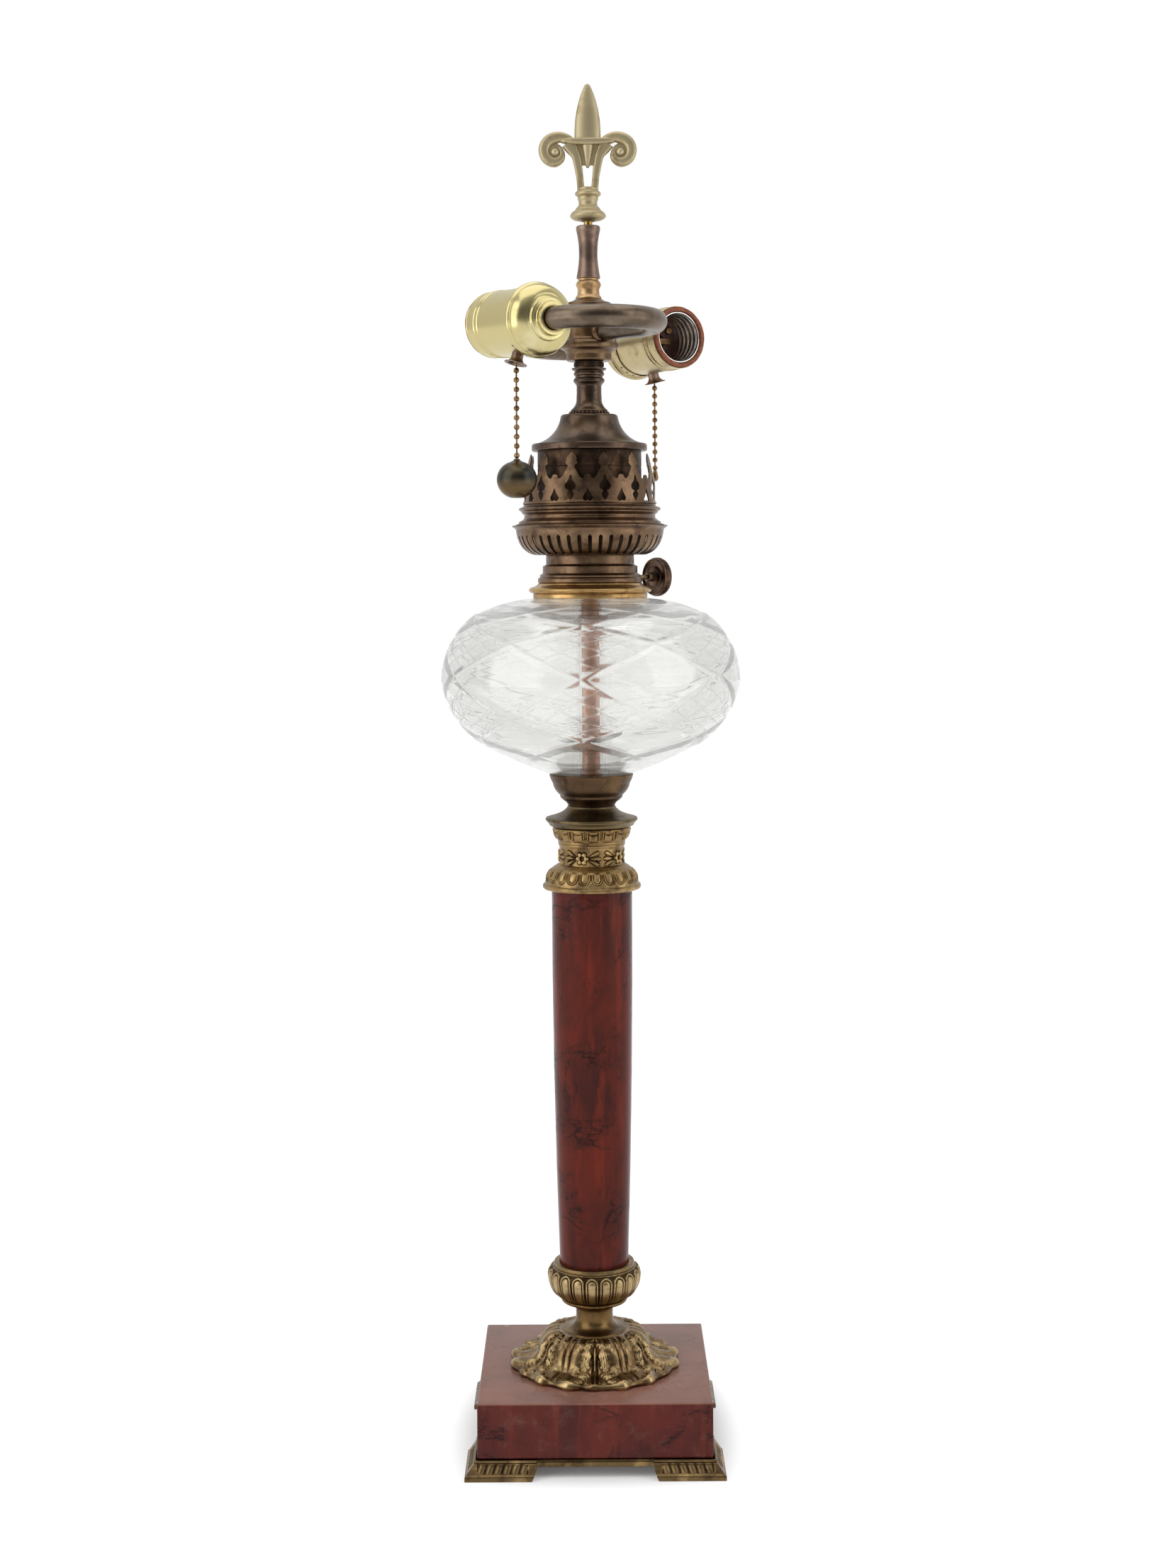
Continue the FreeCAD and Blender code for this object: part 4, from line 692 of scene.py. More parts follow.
def outline(points: Sequence[Point], fillet: float, step: float = 0.0, closed: bool = False) -> np.ndarray:
    """Rounds the corners of a profile and samples its arcs.

    Args:
        points: (radius, height) places; a third number bulges the run after it to its right, by that share.
        fillet: The radius of the softened corners in mm.
        step: The longest run that is left between two samples, if any.
        closed: Whether the last point runs back to the first.

    Returns:
        The sampled (radius, height) rows.
    """
    count = len(points)
    runs = []
    for index in range(count if closed else count - 1):
        start = np.array(points[index][:2], float)
        stop = np.array(points[(index + 1) % count][:2], float)
        bulge = points[index][2] if len(points[index]) > 2 else 0.0
        if abs(bulge) < 1e-4:
            runs.append([start, stop])
            continue
        chord = stop - start
        length = float(np.hypot(*chord))
        side = np.array([chord[1], -chord[0]]) / length
        radius = length * (0.25 + bulge**2) / (2 * abs(bulge))
        half = math.asin(min(1.0, length / (2 * radius)))
        centre = (start + stop) / 2 - side * math.copysign(1.0, bulge) * (radius - abs(bulge) * length)
        samples = max(4, int(math.degrees(half) / 3))
        row = []
        for part in range(samples + 1):
            angle = -half + 2 * half * part / samples
            across = chord / length * radius * math.sin(angle)
            out = side * math.copysign(1.0, bulge) * radius * math.cos(angle)
            row.append(centre + across + out)
        row[0], row[-1] = start, stop
        runs.append(row)
    dense = [runs[0][0]]
    joints = []
    for run in runs:
        joints.append(len(dense) - 1)
        dense += run[1:]
    if closed:
        dense = dense[:-1]
    corners = set(joints if closed else joints[1:])
    rounded: list[np.ndarray] = []
    total = len(dense)
    for index, here in enumerate(dense):
        if index not in corners or fillet <= 0:
            rounded.append(here)
            continue
        before = dense[index - 1]
        after = dense[(index + 1) % total]
        back, on = before - here, after - here
        reach = min(fillet, 0.42 * float(np.hypot(*back)), 0.42 * float(np.hypot(*on)))
        turn = float(np.dot(back, on) / (np.hypot(*back) * np.hypot(*on) + 1e-9))
        if turn < -0.985 or reach < 0.01:
            rounded.append(here)
            continue
        first = here + back / np.hypot(*back) * reach
        last = here + on / np.hypot(*on) * reach
        for share in (0.0, 0.33, 0.67, 1.0):
            rounded.append((1 - share) ** 2 * first + 2 * share * (1 - share) * here + share**2 * last)
    if step:
        fine: list[np.ndarray] = []
        total = len(rounded)
        for index in range(total if closed else total - 1):
            start, stop = rounded[index], rounded[(index + 1) % total]
            parts = max(1, int(math.ceil(float(np.hypot(*(stop - start))) / step)))
            fine += [start + (stop - start) * part / parts for part in range(parts)]
        if not closed:
            fine.append(rounded[-1])
        rounded = fine
    return np.array(rounded)


def turned(profile: np.ndarray, sides: int, relief: Optional[Relief] = None, closed: bool = True) -> Surface:
    """Turns a profile about the Z axis, with carved relief along its normals.

    Args:
        profile: (radius, height) rows, whose outer side runs upwards.
        sides: The number of facets round the axis.
        relief: Gives heights in mm from angle, radius and height arrays.
        closed: Whether the profile is a loop; otherwise it starts and ends on the axis.

    Returns:
        The closed surface.
    """
    count = len(profile)
    angles = np.arange(sides) * 2 * math.pi / sides
    radius, height = profile[:, 0], profile[:, 1]
    if closed:
        ahead, behind = np.roll(profile, -1, 0), np.roll(profile, 1, 0)
    else:
        ahead = np.vstack([profile[1:], profile[-1:]])
        behind = np.vstack([profile[:1], profile[:-1]])
    run = ahead - behind
    length = np.hypot(run[:, 0], run[:, 1]) + 1e-9
    out, up = run[:, 1] / length, -run[:, 0] / length
    lift = np.zeros((count, sides))
    if relief is not None:
        lift = relief(angles[None, :], radius[:, None], height[:, None])
    spread = radius[:, None] + lift * out[:, None]
    rise = height[:, None] + lift * up[:, None]
    points = np.stack([spread * np.cos(angles), spread * np.sin(angles), rise], axis=-1).reshape(-1, 3)
    proud, sunk = max(float(lift.max()), 1e-6), max(float(-lift.min()), 1e-6)
    crest = (GROUND + np.where(lift > 0, lift / proud * (1 - GROUND), lift / sunk * GROUND)).reshape(-1)
    faces: list = []
    last = count if closed else count - 1
    for row in range(last):
        below, above = row * sides, (row + 1) % count * sides
        start_pole = not closed and radius[row] < AXIS
        stop_pole = not closed and radius[(row + 1) % count] < AXIS
        for column in range(sides):
            beside = (column + 1) % sides
            if start_pole:
                faces.append((below, above + beside, above + column))
            elif stop_pole:
                faces.append((below + column, below + beside, above))
            else:
                faces.append((below + column, below + beside, above + beside, above + column))
    if not closed:
        keep = np.ones(len(points), bool)
        for row in (0, count - 1):
            if radius[row] < AXIS:
                keep[row * sides + 1 : (row + 1) * sides] = False
        renumber = np.cumsum(keep) - 1
        faces = [tuple(int(renumber[corner]) for corner in face) for face in faces]
        points, crest = points[keep], crest[keep]
    return Surface(points, faces, crest)


def ring_of(
    points: Sequence[Point],
    sides: int = 96,
    relief: Optional[Relief] = None,
    fillet: float = 0.35,
    step: float = 0.0,
    closed: bool = True,
) -> Surface:
    """A turned ring or bored mount from a closed profile."""
    return turned(outline(points, fillet, step, closed), sides, relief, closed)


def solid_of(points: Sequence[Point], sides: int, fillet: float = 0.35) -> Surface:
    """A turned solid from a profile that starts and ends on the axis."""
    return ring_of(points, sides, None, fillet, closed=False)


def swept(
    path: np.ndarray,
    radii: np.ndarray,
    sides: int = 28,
    squash: Union[float, np.ndarray] = 1.0,
    face_up: Point = (0, 0, 1),
    flat: float = 1.0,
) -> Surface:
    """A round bar along a path, closed at both ends.

    Args:
        path: Places along the bar in mm.
        radii: The bar's radius at each place.
        sides: Facets round the bar.
        squash: Width across the second direction as a share of the first.
        face_up: The direction that the first width keeps to.
        flat: 1 for an oval section; less for a squarer one.

    Returns:
        The closed bar.
    """
    run = np.gradient(path, axis=0)
    run /= np.linalg.norm(run, axis=1)[:, None]
    first = np.array(face_up, float)[None, :] - run * (run @ np.array(face_up, float))[:, None]
    first /= np.linalg.norm(first, axis=1)[:, None]
    second = np.cross(run, first)
    angles = np.arange(sides) * 2 * math.pi / sides
    cos, sin = (np.sign(wave) * np.abs(wave) ** flat for wave in (np.cos(angles), np.sin(angles)))
    squash = np.broadcast_to(squash, radii.shape)[:, None, None]
    ring = first[:, None, :] * cos[None, :, None] + second[:, None, :] * sin[None, :, None] * squash
    points = (path[:, None, :] + ring * radii[:, None, None]).reshape(-1, 3)
    faces = []
    for row in range(len(path) - 1):
        for column in range(sides):
            beside = (column + 1) % sides
            low, high = row * sides, (row + 1) * sides
            faces.append((low + column, low + beside, high + beside, high + column))
    points = np.vstack([points, path[:1], path[-1:]])
    start, stop = len(points) - 2, len(points) - 1
    top = (len(path) - 1) * sides
    for column in range(sides):
        beside = (column + 1) % sides
        faces.append((start, beside, column))
        faces.append((stop, top + column, top + beside))
    return Surface(points, faces, np.full(len(points), 0.6))


def box_seed(size: Point, centre: Point, shrink: float = 0.8) -> Surface:
    """A block whose outer face is drawn in, for knurls and slots.

    Args:
        size: Its depth along X, its width along Y and its height along Z.
        centre: The middle of its inner face.
        shrink: The outer face's size as a share of the inner one's.

    Returns:
        The seed.
    """
    depth, wide, tall = size
    rows = []
    for out, share in ((0.0, 1.0), (depth, shrink)):
        for side, up in ((-1, -1), (1, -1), (1, 1), (-1, 1)):
            half_wide, half_tall = side * wide / 2 * share, up * tall / 2 * share
            rows.append((centre[0] + out, centre[1] + half_wide, centre[2] + half_tall))
    faces = [(3, 2, 1, 0), (4, 5, 6, 7), (0, 1, 5, 4), (1, 2, 6, 5), (2, 3, 7, 6), (3, 0, 4, 7)]
    return Surface(np.array(rows, float), faces)


def baked(made: bpy.types.Object) -> bpy.types.Mesh:
    """An object's mesh with its modifiers applied."""
    return bpy.data.meshes.new_from_object(made.evaluated_get(bpy.context.evaluated_depsgraph_get()))


def welded(mesh: bpy.types.Mesh, gap: float) -> bmesh.types.BMesh:
    """Takes a mesh over into a bmesh and joins its nearest points.

    Args:
        mesh: The mesh, which is removed.
        gap: How far apart joined points may be.

    Returns:
        The bmesh.
    """
    made = bmesh.new()
    made.from_mesh(mesh)
    bpy.data.meshes.remove(mesh)
    bmesh.ops.remove_doubles(made, verts=made.verts, dist=gap)
    return made


def read_off(made: bmesh.types.BMesh, unit: float = 1.0) -> Surface:
    """Reads a shape off a bmesh and frees it.

    Args:
        made: The bmesh.
        unit: A millimetre in its own lengths.

    Returns:
        The shape, with its crest if it has one.
    """
    made.verts.index_update()
    layer = made.verts.layers.float.get("crest")
    points = np.array([vert.co[:] for vert in made.verts]) / unit
    crest = np.array([vert[layer] for vert in made.verts]) if layer is not None else None
    faces = [tuple(vert.index for vert in face.verts) for face in made.faces]
    made.free()
    return Surface(points, faces, crest)


def sheet_from(loops: Sequence[Sequence[Point]], cut_mm: float) -> Surface:
    """A flat sheet in the X, Z plane with holes, cut into small faces so that it can be bent.

    Args:
        loops: The outer edge and then each hole, as (across, up) points.
        cut_mm: The spacing of the cuts.

    Returns:
        The open sheet.
    """
    curve = bpy.data.curves.new("sheet_edge", "CURVE")
    curve.dimensions = "2D"
    curve.fill_mode = "BOTH"
    for loop in loops:
        spline = curve.splines.new("POLY")
        spline.points.add(len(loop) - 1)
        for point, (across, up) in zip(spline.points, loop):
            point.co = (across, up, 0, 1)
        spline.use_cyclic_u = True
    holder = bpy.data.objects.new("sheet_edge", curve)
    made = welded(bpy.data.meshes.new_from_object(holder), 1e-5)
    edge = np.array([point for loop in loops for point in loop])
    for axis, normal in enumerate(((1.0, 0.0, 0.0), (0.0, 1.0, 0.0))):
        for level in np.arange(edge[:, axis].min() + cut_mm, edge[:, axis].max(), cut_mm):
            everything = made.verts[:] + made.edges[:] + made.faces[:]
            place = Vector(normal) * level
            bmesh.ops.bisect_plane(made, geom=everything, dist=1e-6, plane_co=place, plane_no=normal)
    bpy.data.objects.remove(holder)
    bpy.data.curves.remove(curve)
    flat = read_off(made)
    return Surface(flat.points[:, [0, 2, 1]], flat.faces)


def capsule(across: np.ndarray, up: np.ndarray, half: float, low: float, high: float) -> np.ndarray:
    """How far a place lies from the spine of an upright round-ended slot, as a share of its half width."""
    spine = np.clip(up, low + half, high - half)
    return np.hypot(across, up - spine) / half


def wrapped(angle: np.ndarray, count: int) -> np.ndarray:
    """The angle from the nearest of count evenly spaced marks."""
    pitch = 2 * math.pi / count
    return (angle + pitch / 2) % pitch - pitch / 2


def marked(angle: np.ndarray, count: int, lead: float = 0.0) -> np.ndarray:
    """The angle from the nearest of count marks, of which one lies lead degrees before the front."""
    return wrapped(angle + math.pi / 2 + math.radians(lead), count)


# Repeated pieces


class Repeater:
    """A geometry node tree that sets copies of a seed in a ring or a row."""

    def __init__(self) -> None:
        """Builds the tree with its named inputs."""
        self.tree = bpy.data.node_groups.new("repeated_pieces", "GeometryNodeTree")
        face = self.tree.interface
        kinds = {"Geometry": "Geometry", "Count": "Int", "Turn": "Float", "Step": "Vector"}
        self.inputs = {}
        for name, kind in {**kinds, "Finish": "Material"}.items():
            made = face.new_socket(name, in_out="INPUT", socket_type="NodeSocket" + kind)
            self.inputs[name] = made.identifier
        face.new_socket("Geometry", in_out="OUTPUT", socket_type="NodeSocketGeometry")
        given = add_node(self.tree, "NodeGroupInput").outputs
        index = self.output("GeometryNodeInputIndex", {})
        turn = self.output("ShaderNodeMath", {0: index, 1: given["Turn"]}, "MULTIPLY")
        way = self.output("ShaderNodeCombineXYZ", {"Z": turn})
        spin = self.output("FunctionNodeEulerToRotation", {0: way})
        row = self.output("ShaderNodeVectorMath", {0: given["Step"], "Scale": index}, "SCALE")
        points = self.output("GeometryNodePoints", {"Count": given["Count"], "Position": row})
        inputs = {"Points": points, "Instance": given["Geometry"], "Rotation": spin}
        copies = self.output("GeometryNodeInstanceOnPoints", inputs)
        real = self.output("GeometryNodeRealizeInstances", {0: copies})
        dressed = self.output("GeometryNodeSetMaterial", {"Geometry": real, "Material": given["Finish"]})
        add_node(self.tree, "NodeGroupOutput", None, {0: dressed})

    def output(self, kind: str, inputs: dict, operation: str = "") -> bpy.types.NodeSocket:
        """Adds a node and gives its first output."""
        return add_node(self.tree, kind, {"operation": operation} if operation else None, inputs).outputs[0]

    def copies(
        self, seed: Surface, count: int, finish: Finish, turn: float = 0.0, step: Point = (0.0, 0.0, 0.0)
    ) -> Surface:
        """Sets copies of a seed.

        Args:
            seed: The shape of the first copy, in place.
            count: The number of copies.
            finish: What they are made of.
            turn: Degrees from one copy to the next about Z; 0 for a row.
            step: Millimetres from one copy to the next.

        Returns:
            All the copies as one shape.
        """
        holder = bpy.data.objects.new("seed", seed.mesh("seed"))
        bpy.context.scene.collection.objects.link(holder)
        modifier = holder.modifiers.new("copies", "NODES")
        modifier.node_group = self.tree
        lengths = tuple(part * MM for part in step)
        values = {"Count": count, "Turn": math.radians(turn), "Step": lengths, "Finish": finish.material()}
        for name, given in values.items():
            modifier[self.inputs[name]] = given
        mesh = baked(holder)
        places = np.zeros(len(mesh.vertices) * 3)
        mesh.vertices.foreach_get("co", places)
        points = places.reshape(-1, 3) / MM
        faces = [tuple(face.vertices) for face in mesh.polygons]
        bpy.data.objects.remove(holder)
        bpy.data.meshes.remove(mesh)
        return Surface(points, faces, np.full(len(points), 0.7))

    def ring(self, seed: Surface, count: int, finish: Finish) -> Surface:
        """Copies all the way round the Z axis."""
        return self.copies(seed, count, finish, 360.0 / count)


REPEATER = Repeater()


class Assembly:
    """What all the lamp's sub-assemblies share: making a piece out of a shape."""

    def piece(
        self,
        name: str,
        shape: Surface,
        finish: Finish,
        nodes: Sequence[str] = (),
        body: Body = Body.LAMP,
        crease: float = 40.0,
        wall_mm: float = 0.0,
        soften_mm: float = 0.0,
    ) -> bpy.types.Object:
        """Makes a piece, dresses it and lets it ride.

        Args:
            name: The piece's name.
            shape: Its surface in mm.
            finish: What it is made of.
            nodes: The CAD nodes that it stands for.
            body: The body that it rides on.
            crease: Edges sharper than this many degrees stay sharp.
            wall_mm: A wall to give an open sheet, inwards.
            soften_mm: A bevel for its sharp edges.

        Returns:
            The piece.
        """
        mesh = shape.mesh(name)
        mesh.polygons.foreach_set("use_smooth", np.ones(len(mesh.polygons), bool))
        made = bpy.data.objects.new(name, mesh)
        bpy.context.scene.collection.objects.link(made)
        if wall_mm:
            solidify = made.modifiers.new("wall", "SOLIDIFY")
            solidify.thickness = wall_mm * MM
            solidify.offset = -1.0
        if soften_mm:
            bevel = made.modifiers.new("soften", "BEVEL")
            bevel.width = soften_mm * MM
            bevel.segments = 2
            bevel.limit_method = "ANGLE"
            bevel.angle_limit = math.radians(35)
        if wall_mm or soften_mm:
            mesh = baked(made)
            made.modifiers.clear()
            made.data = mesh
            mesh.polygons.foreach_set("use_smooth", np.ones(len(mesh.polygons), bool))
        mesh.set_sharp_from_angle(angle=math.radians(crease))
        mesh.materials.clear()
        mesh.materials.append(finish.material())
        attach(made, body.value)
        if nodes:
            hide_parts(*nodes)
        LOG.info("%s: %d points on %s", name, len(mesh.vertices), body.value)
        return made

    def dress(self, node: str, finish: Finish) -> None:
        """Gives a CAD node its finish.

        Args:
            node: The node's name.
            finish: What it is dressed in.
        """
        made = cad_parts[node]
        made.data.materials.clear()
        made.data.materials.append(finish.material())


@dataclass
class FootFrame(Assembly):
    """Gilt frame under the block, with fluted wings at its corners."""

    reach: float = 66.0
    under: float = 60.8
    inner: float = 51.1
    wing: float = 34.0
    slant: float = 2.4
    height: float = 9.1
    strip: float = 3.7
    flutes: int = 6
    flute_depth: float = 0.9

    def wing_pair(self) -> Surface:
        """Both wings of the corner at +X, -Y, mitred together.

        Returns:
            The two wings as one shape.
        """
        edge = [
            (self.inner, self.height), (self.under + 0.4, self.height),
            (self.under + 0.8, self.height - 0.25), (self.under + 0.8, self.height - 1.1),
            (self.under + 0.55, self.height - 1.5), (self.under + 1.0, self.height - 1.75),
        ]
        face_low, face_high = (self.reach - 1.05, 3.3), (self.under + 1.0, self.height - 1.75)
        rows = 14
        for part in range(1, rows + 1):
            share = part / rows
            edge.append(tuple(high + (low - high) * share for low, high in zip(face_low, face_high)))
        edge += [
            (self.reach - 0.75, 3.0), (self.reach - 0.15, 2.6), (self.reach, 2.2), (self.reach, 0.25),
            (self.reach - 0.25, 0.0), (self.inner, 0.0),
        ]
        profile = np.array(edge)
        columns = 96
        run = np.linspace(0, 1, columns)
        end = self.reach - self.wing - self.slant * np.clip(profile[:, 1] / (self.height - self.strip), 0, 1)
        along = profile[:, 0][:, None] * (1 - run) + end[:, None] * run
        out = np.repeat(profile[:, 0][:, None], columns, 1)
        up = np.repeat(profile[:, 1][:, None], columns, 1)
        low, high = 3.3, self.height - 1.75
        share = (up - low) / (high - low)
        inside = window(share, 0.06, 0.16, 0.86, 0.95)
        start, stop = self.reach - self.wing + 1.6, self.under - 1.0
        pitch = (stop - start) / self.flutes
        place = (along - start + (share - 0.5) * 1.6) / pitch
        within = window(along, start, start + 0.6, stop - 0.2, stop + 0.5)
        beat = np.abs(((place % 1) - 0.5) * 2)
        hollow = (1 - eased(beat, 0.55, 0.95)) * inside * within
        slope = np.array([high - low, 1.0 * (self.reach - 1.05 - self.under - 1.0)])
        slope /= np.hypot(*slope)
        bar = (0.42 + 0.58 * (1 - np.clip(beat / 0.6, 0, 1) ** 2)) * hollow * self.flute_depth
        drop = (bar - self.flute_depth * inside * within) * 0.8
        out = out + drop * slope[0]
        up = up + drop * slope[1]
        crest = np.clip(0.66 + drop / self.flute_depth * 0.75, 0, 1)
        first = np.stack([along, -out, up], axis=-1).reshape(-1, 3)
        count = len(profile)
        faces = []
        for row in range(count):
            below, above = row * columns, (row + 1) % count * columns
            for column in range(columns - 1):
                faces.append((below + column, below + column + 1, above + column + 1, above + column))
        faces.append(tuple(row * columns + columns - 1 for row in range(count)))
        other = first[:, [1, 0, 2]] * np.array([-1, -1, 1])
        mirrored = [tuple(reversed(face)) for face in faces]
        points = np.vstack([first, other])
        start_at = len(first)
        faces += [tuple(corner + start_at for corner in face) for face in mirrored]
        return Surface(points, faces, np.concatenate([crest.reshape(-1)] * 2))

    def build(self) -> None:
        """Builds the four corners and the strips between them."""
        made = welded(self.wing_pair().mesh("corner"), 2e-6)
        bmesh.ops.recalc_face_normals(made, faces=made.faces)
        corner = read_off(made, MM)
        parts = [corner.moved(spun(90 * turn)) for turn in range(4)]
        reach, top = self.under, self.height
        profile = [
            (self.inner, top - self.strip), (reach - 0.3, top - self.strip),
            (reach, top - self.strip + 0.3), (reach, top - 1.35), (reach - 0.3, top - 1.1),
            (reach, top - 0.85), (reach - 0.2, top), (self.inner, top),
        ]
        rows = []
        for turn in range(4):
            angle = math.radians(90 * turn)
            cos, sin = math.cos(angle), math.sin(angle)
            rows.append([(out * cos + out * sin, out * sin - out * cos, up) for out, up in profile])
        strip_points = np.array(rows).reshape(-1, 3)
        count = len(profile)
        strip_faces = []
        for turn in range(4):
            here, there = turn * count, (turn + 1) % 4 * count
            for row in range(count):
                above = (row + 1) % count
                strip_faces.append((here + row, there + row, there + above, here + above))
        parts.append(Surface(strip_points, strip_faces, np.full(len(strip_points), 0.62)))
        self.piece("winged_foot_frame", joined(parts), GILT_DARK, ["foot_frame"], crease=30)
        self.dress("base_washer", STEEL)
        self.dress("base_nut", STEEL)


@dataclass
class MarbleBlock(Assembly):
    """Square marble block with softly worn edges."""

    half: float = 59.75
    low: float = 9.12
    high: float = 37.0
    edge: float = 0.9

    def build(self) -> None:
        """Builds the block."""
        made = bmesh.new()
        bmesh.ops.create_cube(made, size=1.0)
        for vert in made.verts:
            vert.co.x *= 2 * self.half
            vert.co.y *= 2 * self.half
            vert.co.z = self.high if vert.co.z > 0 else self.low
        bmesh.ops.bevel(made, geom=made.edges[:], offset=self.edge, segments=4, profile=0.6, affect="EDGES")
        self.piece("worn_marble_block", read_off(made), BLOCK_MARBLE, ["marble_base"], crease=60)


@dataclass
class LeafSocle(Assembly):
    """Gilt dome of six crumpled leaves between double-lined straps, and the neck over it."""

    leaves: int = 6
    rim: float = 44.0
    low: float = 37.0
    high: float = 55.5
    sides: int = 720
    neck_low: float = 55.5
    # Each lobe: way down from the disc, way out from the midrib, half length, half width, lean, height
    lobes: tuple = (
        (3.8, 2.1, 2.8, 1.3, 34.0, 1.0), (7.8, 3.2, 3.2, 1.8, 36.0, 1.4), (8.4, 7.4, 3.0, 2.2, 15.0, 0.5),
        (13.2, 4.6, 4.0, 2.3, 24.0, 1.8), (19.6, 6.0, 4.2, 2.6, 34.0, 1.8),
        (17.4, 10.2, 3.0, 2.4, 20.0, 0.6), (25.4, 9.6, 3.6, 2.6, 55.0, 1.3),
        (26.0, 3.6, 3.0, 1.9, 14.0, 0.8),
    )

    def profile(self) -> list:
        """The dome without its carving.

        Returns:
            The closed profile.
        """
        base = self.low
        return [
            (self.rim - 3.5, base), (self.rim - 0.9, base, 0.1), (self.rim, base + 1.6, 0.12),
            (self.rim - 1.2, base + 3.4, -0.03), (35.0, base + 4.2, -0.17), (29.2, base + 9.4, 0.19),
            (17.4, self.high - 0.2), (17.1, self.high - 0.45), (16.8, self.high), (BORE, self.high),
            (BORE, base),
        ]

    def leaf(self, down: np.ndarray, across: np.ndarray) -> np.ndarray:
        """Heights of one leaf's midrib and lobes in mm.

        Args:
            down: Places from the neck to the rim in mm.
            across: Places to the side of the midrib in mm.

        Returns:
            The relief in mm.
        """
        rib = 0.8 * bell(across, 0.5) - 0.85 * bell(across - 1.35, 0.5)
        lift = rib * window(down, 7.5, 10.0, 27.0, 29.5)
        domes, lines = np.zeros_like(lift), np.zeros_like(lift)
        for place, side, long, wide, lean, tall in self.lobes:
            cos, sin = math.cos(math.radians(lean)), math.sin(math.radians(lean))
            along = (down - place) * cos + (across - side) * sin
            off = (across - side) * cos - (down - place) * sin
            far = np.hypot(along / long, (off + 0.10 * wide * np.sin(along * 2.2)) / wide)
            dome = domed(far) * tall
            fan = 0.5 + 0.5 * np.cos(2 * math.pi * off / (0.42 * wide) + along * 0.9)
            fine = 0.3 if tall > 0.65 else 0.0
            domes = np.maximum(domes, dome * (1 - fine * fan))
            lines = np.maximum(lines, bell(far - 1.1, 0.11) * fine)
        return np.where(domes > 0.05, lift * 0.3 + domes, lift - lines)

    def carve(self, angle: np.ndarray, radius: np.ndarray, height: np.ndarray) -> np.ndarray:
        """Heights of the leaves, the straps and the ruffled edge in mm.

        Args:
            angle: Angles round the axis.
            radius: Radii in mm.
            height: Heights over the floor in mm.

        Returns:
            The relief in mm.
        """
        outer = (radius > 17.7) & (height > self.low + 0.3)
        share = np.clip((radius - 17.7) / (self.rim - 17.7), 0, 1)
        down = share * 30.0 + 0 * angle
        leaf = marked(angle, self.leaves)
        turn = np.abs(np.degrees(leaf))
        # Each leaf differs a little from the next, as cast and chased work does
        own = np.sin(np.floor((angle + math.pi / 2) / (2 * math.pi / self.leaves) + 0.5) * 2.4)
        lift = self.leaf(down + 0.5 * own, np.abs(leaf) * radius)
        gap = np.abs(marked(angle, self.leaves, 180 / self.leaves)) * radius
        half = 1.9 - 0.7 * share
        run = window(down, 0.6, 2.2, 26.5, 28.5)
        lift = lift * eased(gap, half + 0.2, half + 1.6)
        lift += (0.4 * domed(gap / half) - 0.7 * bell(gap - half, 0.26)) * run
        lift += 0.5 * window(gap, half, half + 1.6, half + 3.0, half + 8.0) * run
        ruffle = eased(share, 0.82, 0.96)
        tips = 2.1 * bell(turn - 19.5, 6.4) + 1.1 * bell(turn, 4.6)
        tips += 0.15 * np.cos(angle * 31 + 0.7) - 0.7
        return np.where(outer, lift * (1 - 0.5 * ruffle) + ruffle * tips, 0.0)

    def build(self) -> None:
        """Builds the dome and the neck over it."""
        dome = ring_of(self.profile(), self.sides, self.carve, 0.4, 0.5)
        self.piece("acanthus_dome", dome, GILT_LEAF, ["leaf_socle"], crease=75)
        low = self.neck_low
        neck = lifted(low, [
            (BORE, 0.0), (16.6, 0.0), (16.4, 0.35), (13.6, 0.9, -0.10), (10.2, 4.2, -0.04),
            (9.8, 7.0, -0.02), (9.9, 11.0, -0.22), (14.4, 14.2), (15.2, 14.6), (16.9, 14.9), (17.5, 15.4),
            (17.5, 16.4), (17.1, 16.8), (BORE, 16.8),
        ])
        self.piece("waisted_neck", ring_of(neck, 128, None, 0.5, 0.9), GILT_PLAIN, ["socle_neck"])


@dataclass
class GadroonCup(Assembly):
    """Cup of double-outlined tongues under the column."""

    tongues: int = 20
    low: float = 72.3
    sides: int = 800

    def carve(self, angle: np.ndarray, radius: np.ndarray, height: np.ndarray) -> np.ndarray:
        """Heights of the tongues in mm.

        Args:
            angle: Angles round the axis.
            radius: Radii in mm.
            height: Heights over the floor in mm.

        Returns:
            The relief in mm.
        """
        across = marked(angle, self.tongues, 3.0) * 24.0
        up = height - self.low
        shape = capsule(across, up, 3.5, -8.0, 16.3)
        field = 0.45 * domed(shape / 0.6)
        bar = 0.30 * window(shape, 0.64, 0.72, 0.90, 0.98)
        lines = 0.55 * bell(shape - 0.63, 0.05) + 0.5 * bell(shape - 1.01, 0.055)
        above = -0.5 * eased(shape, 1.0, 1.12) * (1 - eased(up, 16.3, 16.9))
        ring = -0.4 * bell(up - 17.3, 0.22)
        outer = (radius > 17.4) & (up > 0.5)
        lift = (field + bar - lines) * eased(up, 0.8, 2.4) * (shape < 1.25) + above
        return np.where(outer, lift + ring * (radius > 20.0), 0.0)

    def build(self) -> None:
        """Builds the cup."""
        low = self.low
        profile = lifted(low, [
            (BORE, 0.0), (16.9, 0.0), (17.5, 0.6, 0.14), (24.2, 10.6, 0.14), (22.7, 16.2), (21.9, 17.1),
            (21.4, 17.6), (21.2, 18.8), (20.8, 19.0), (18.3, 19.0), (18.3, 17.0), (BORE, 17.0),
        ])
        cup = ring_of(profile, self.sides, self.carve, 0.3, 0.4)
        self.piece("gadrooned_cup", cup, GILT, ["gadroon_cup"], crease=60)


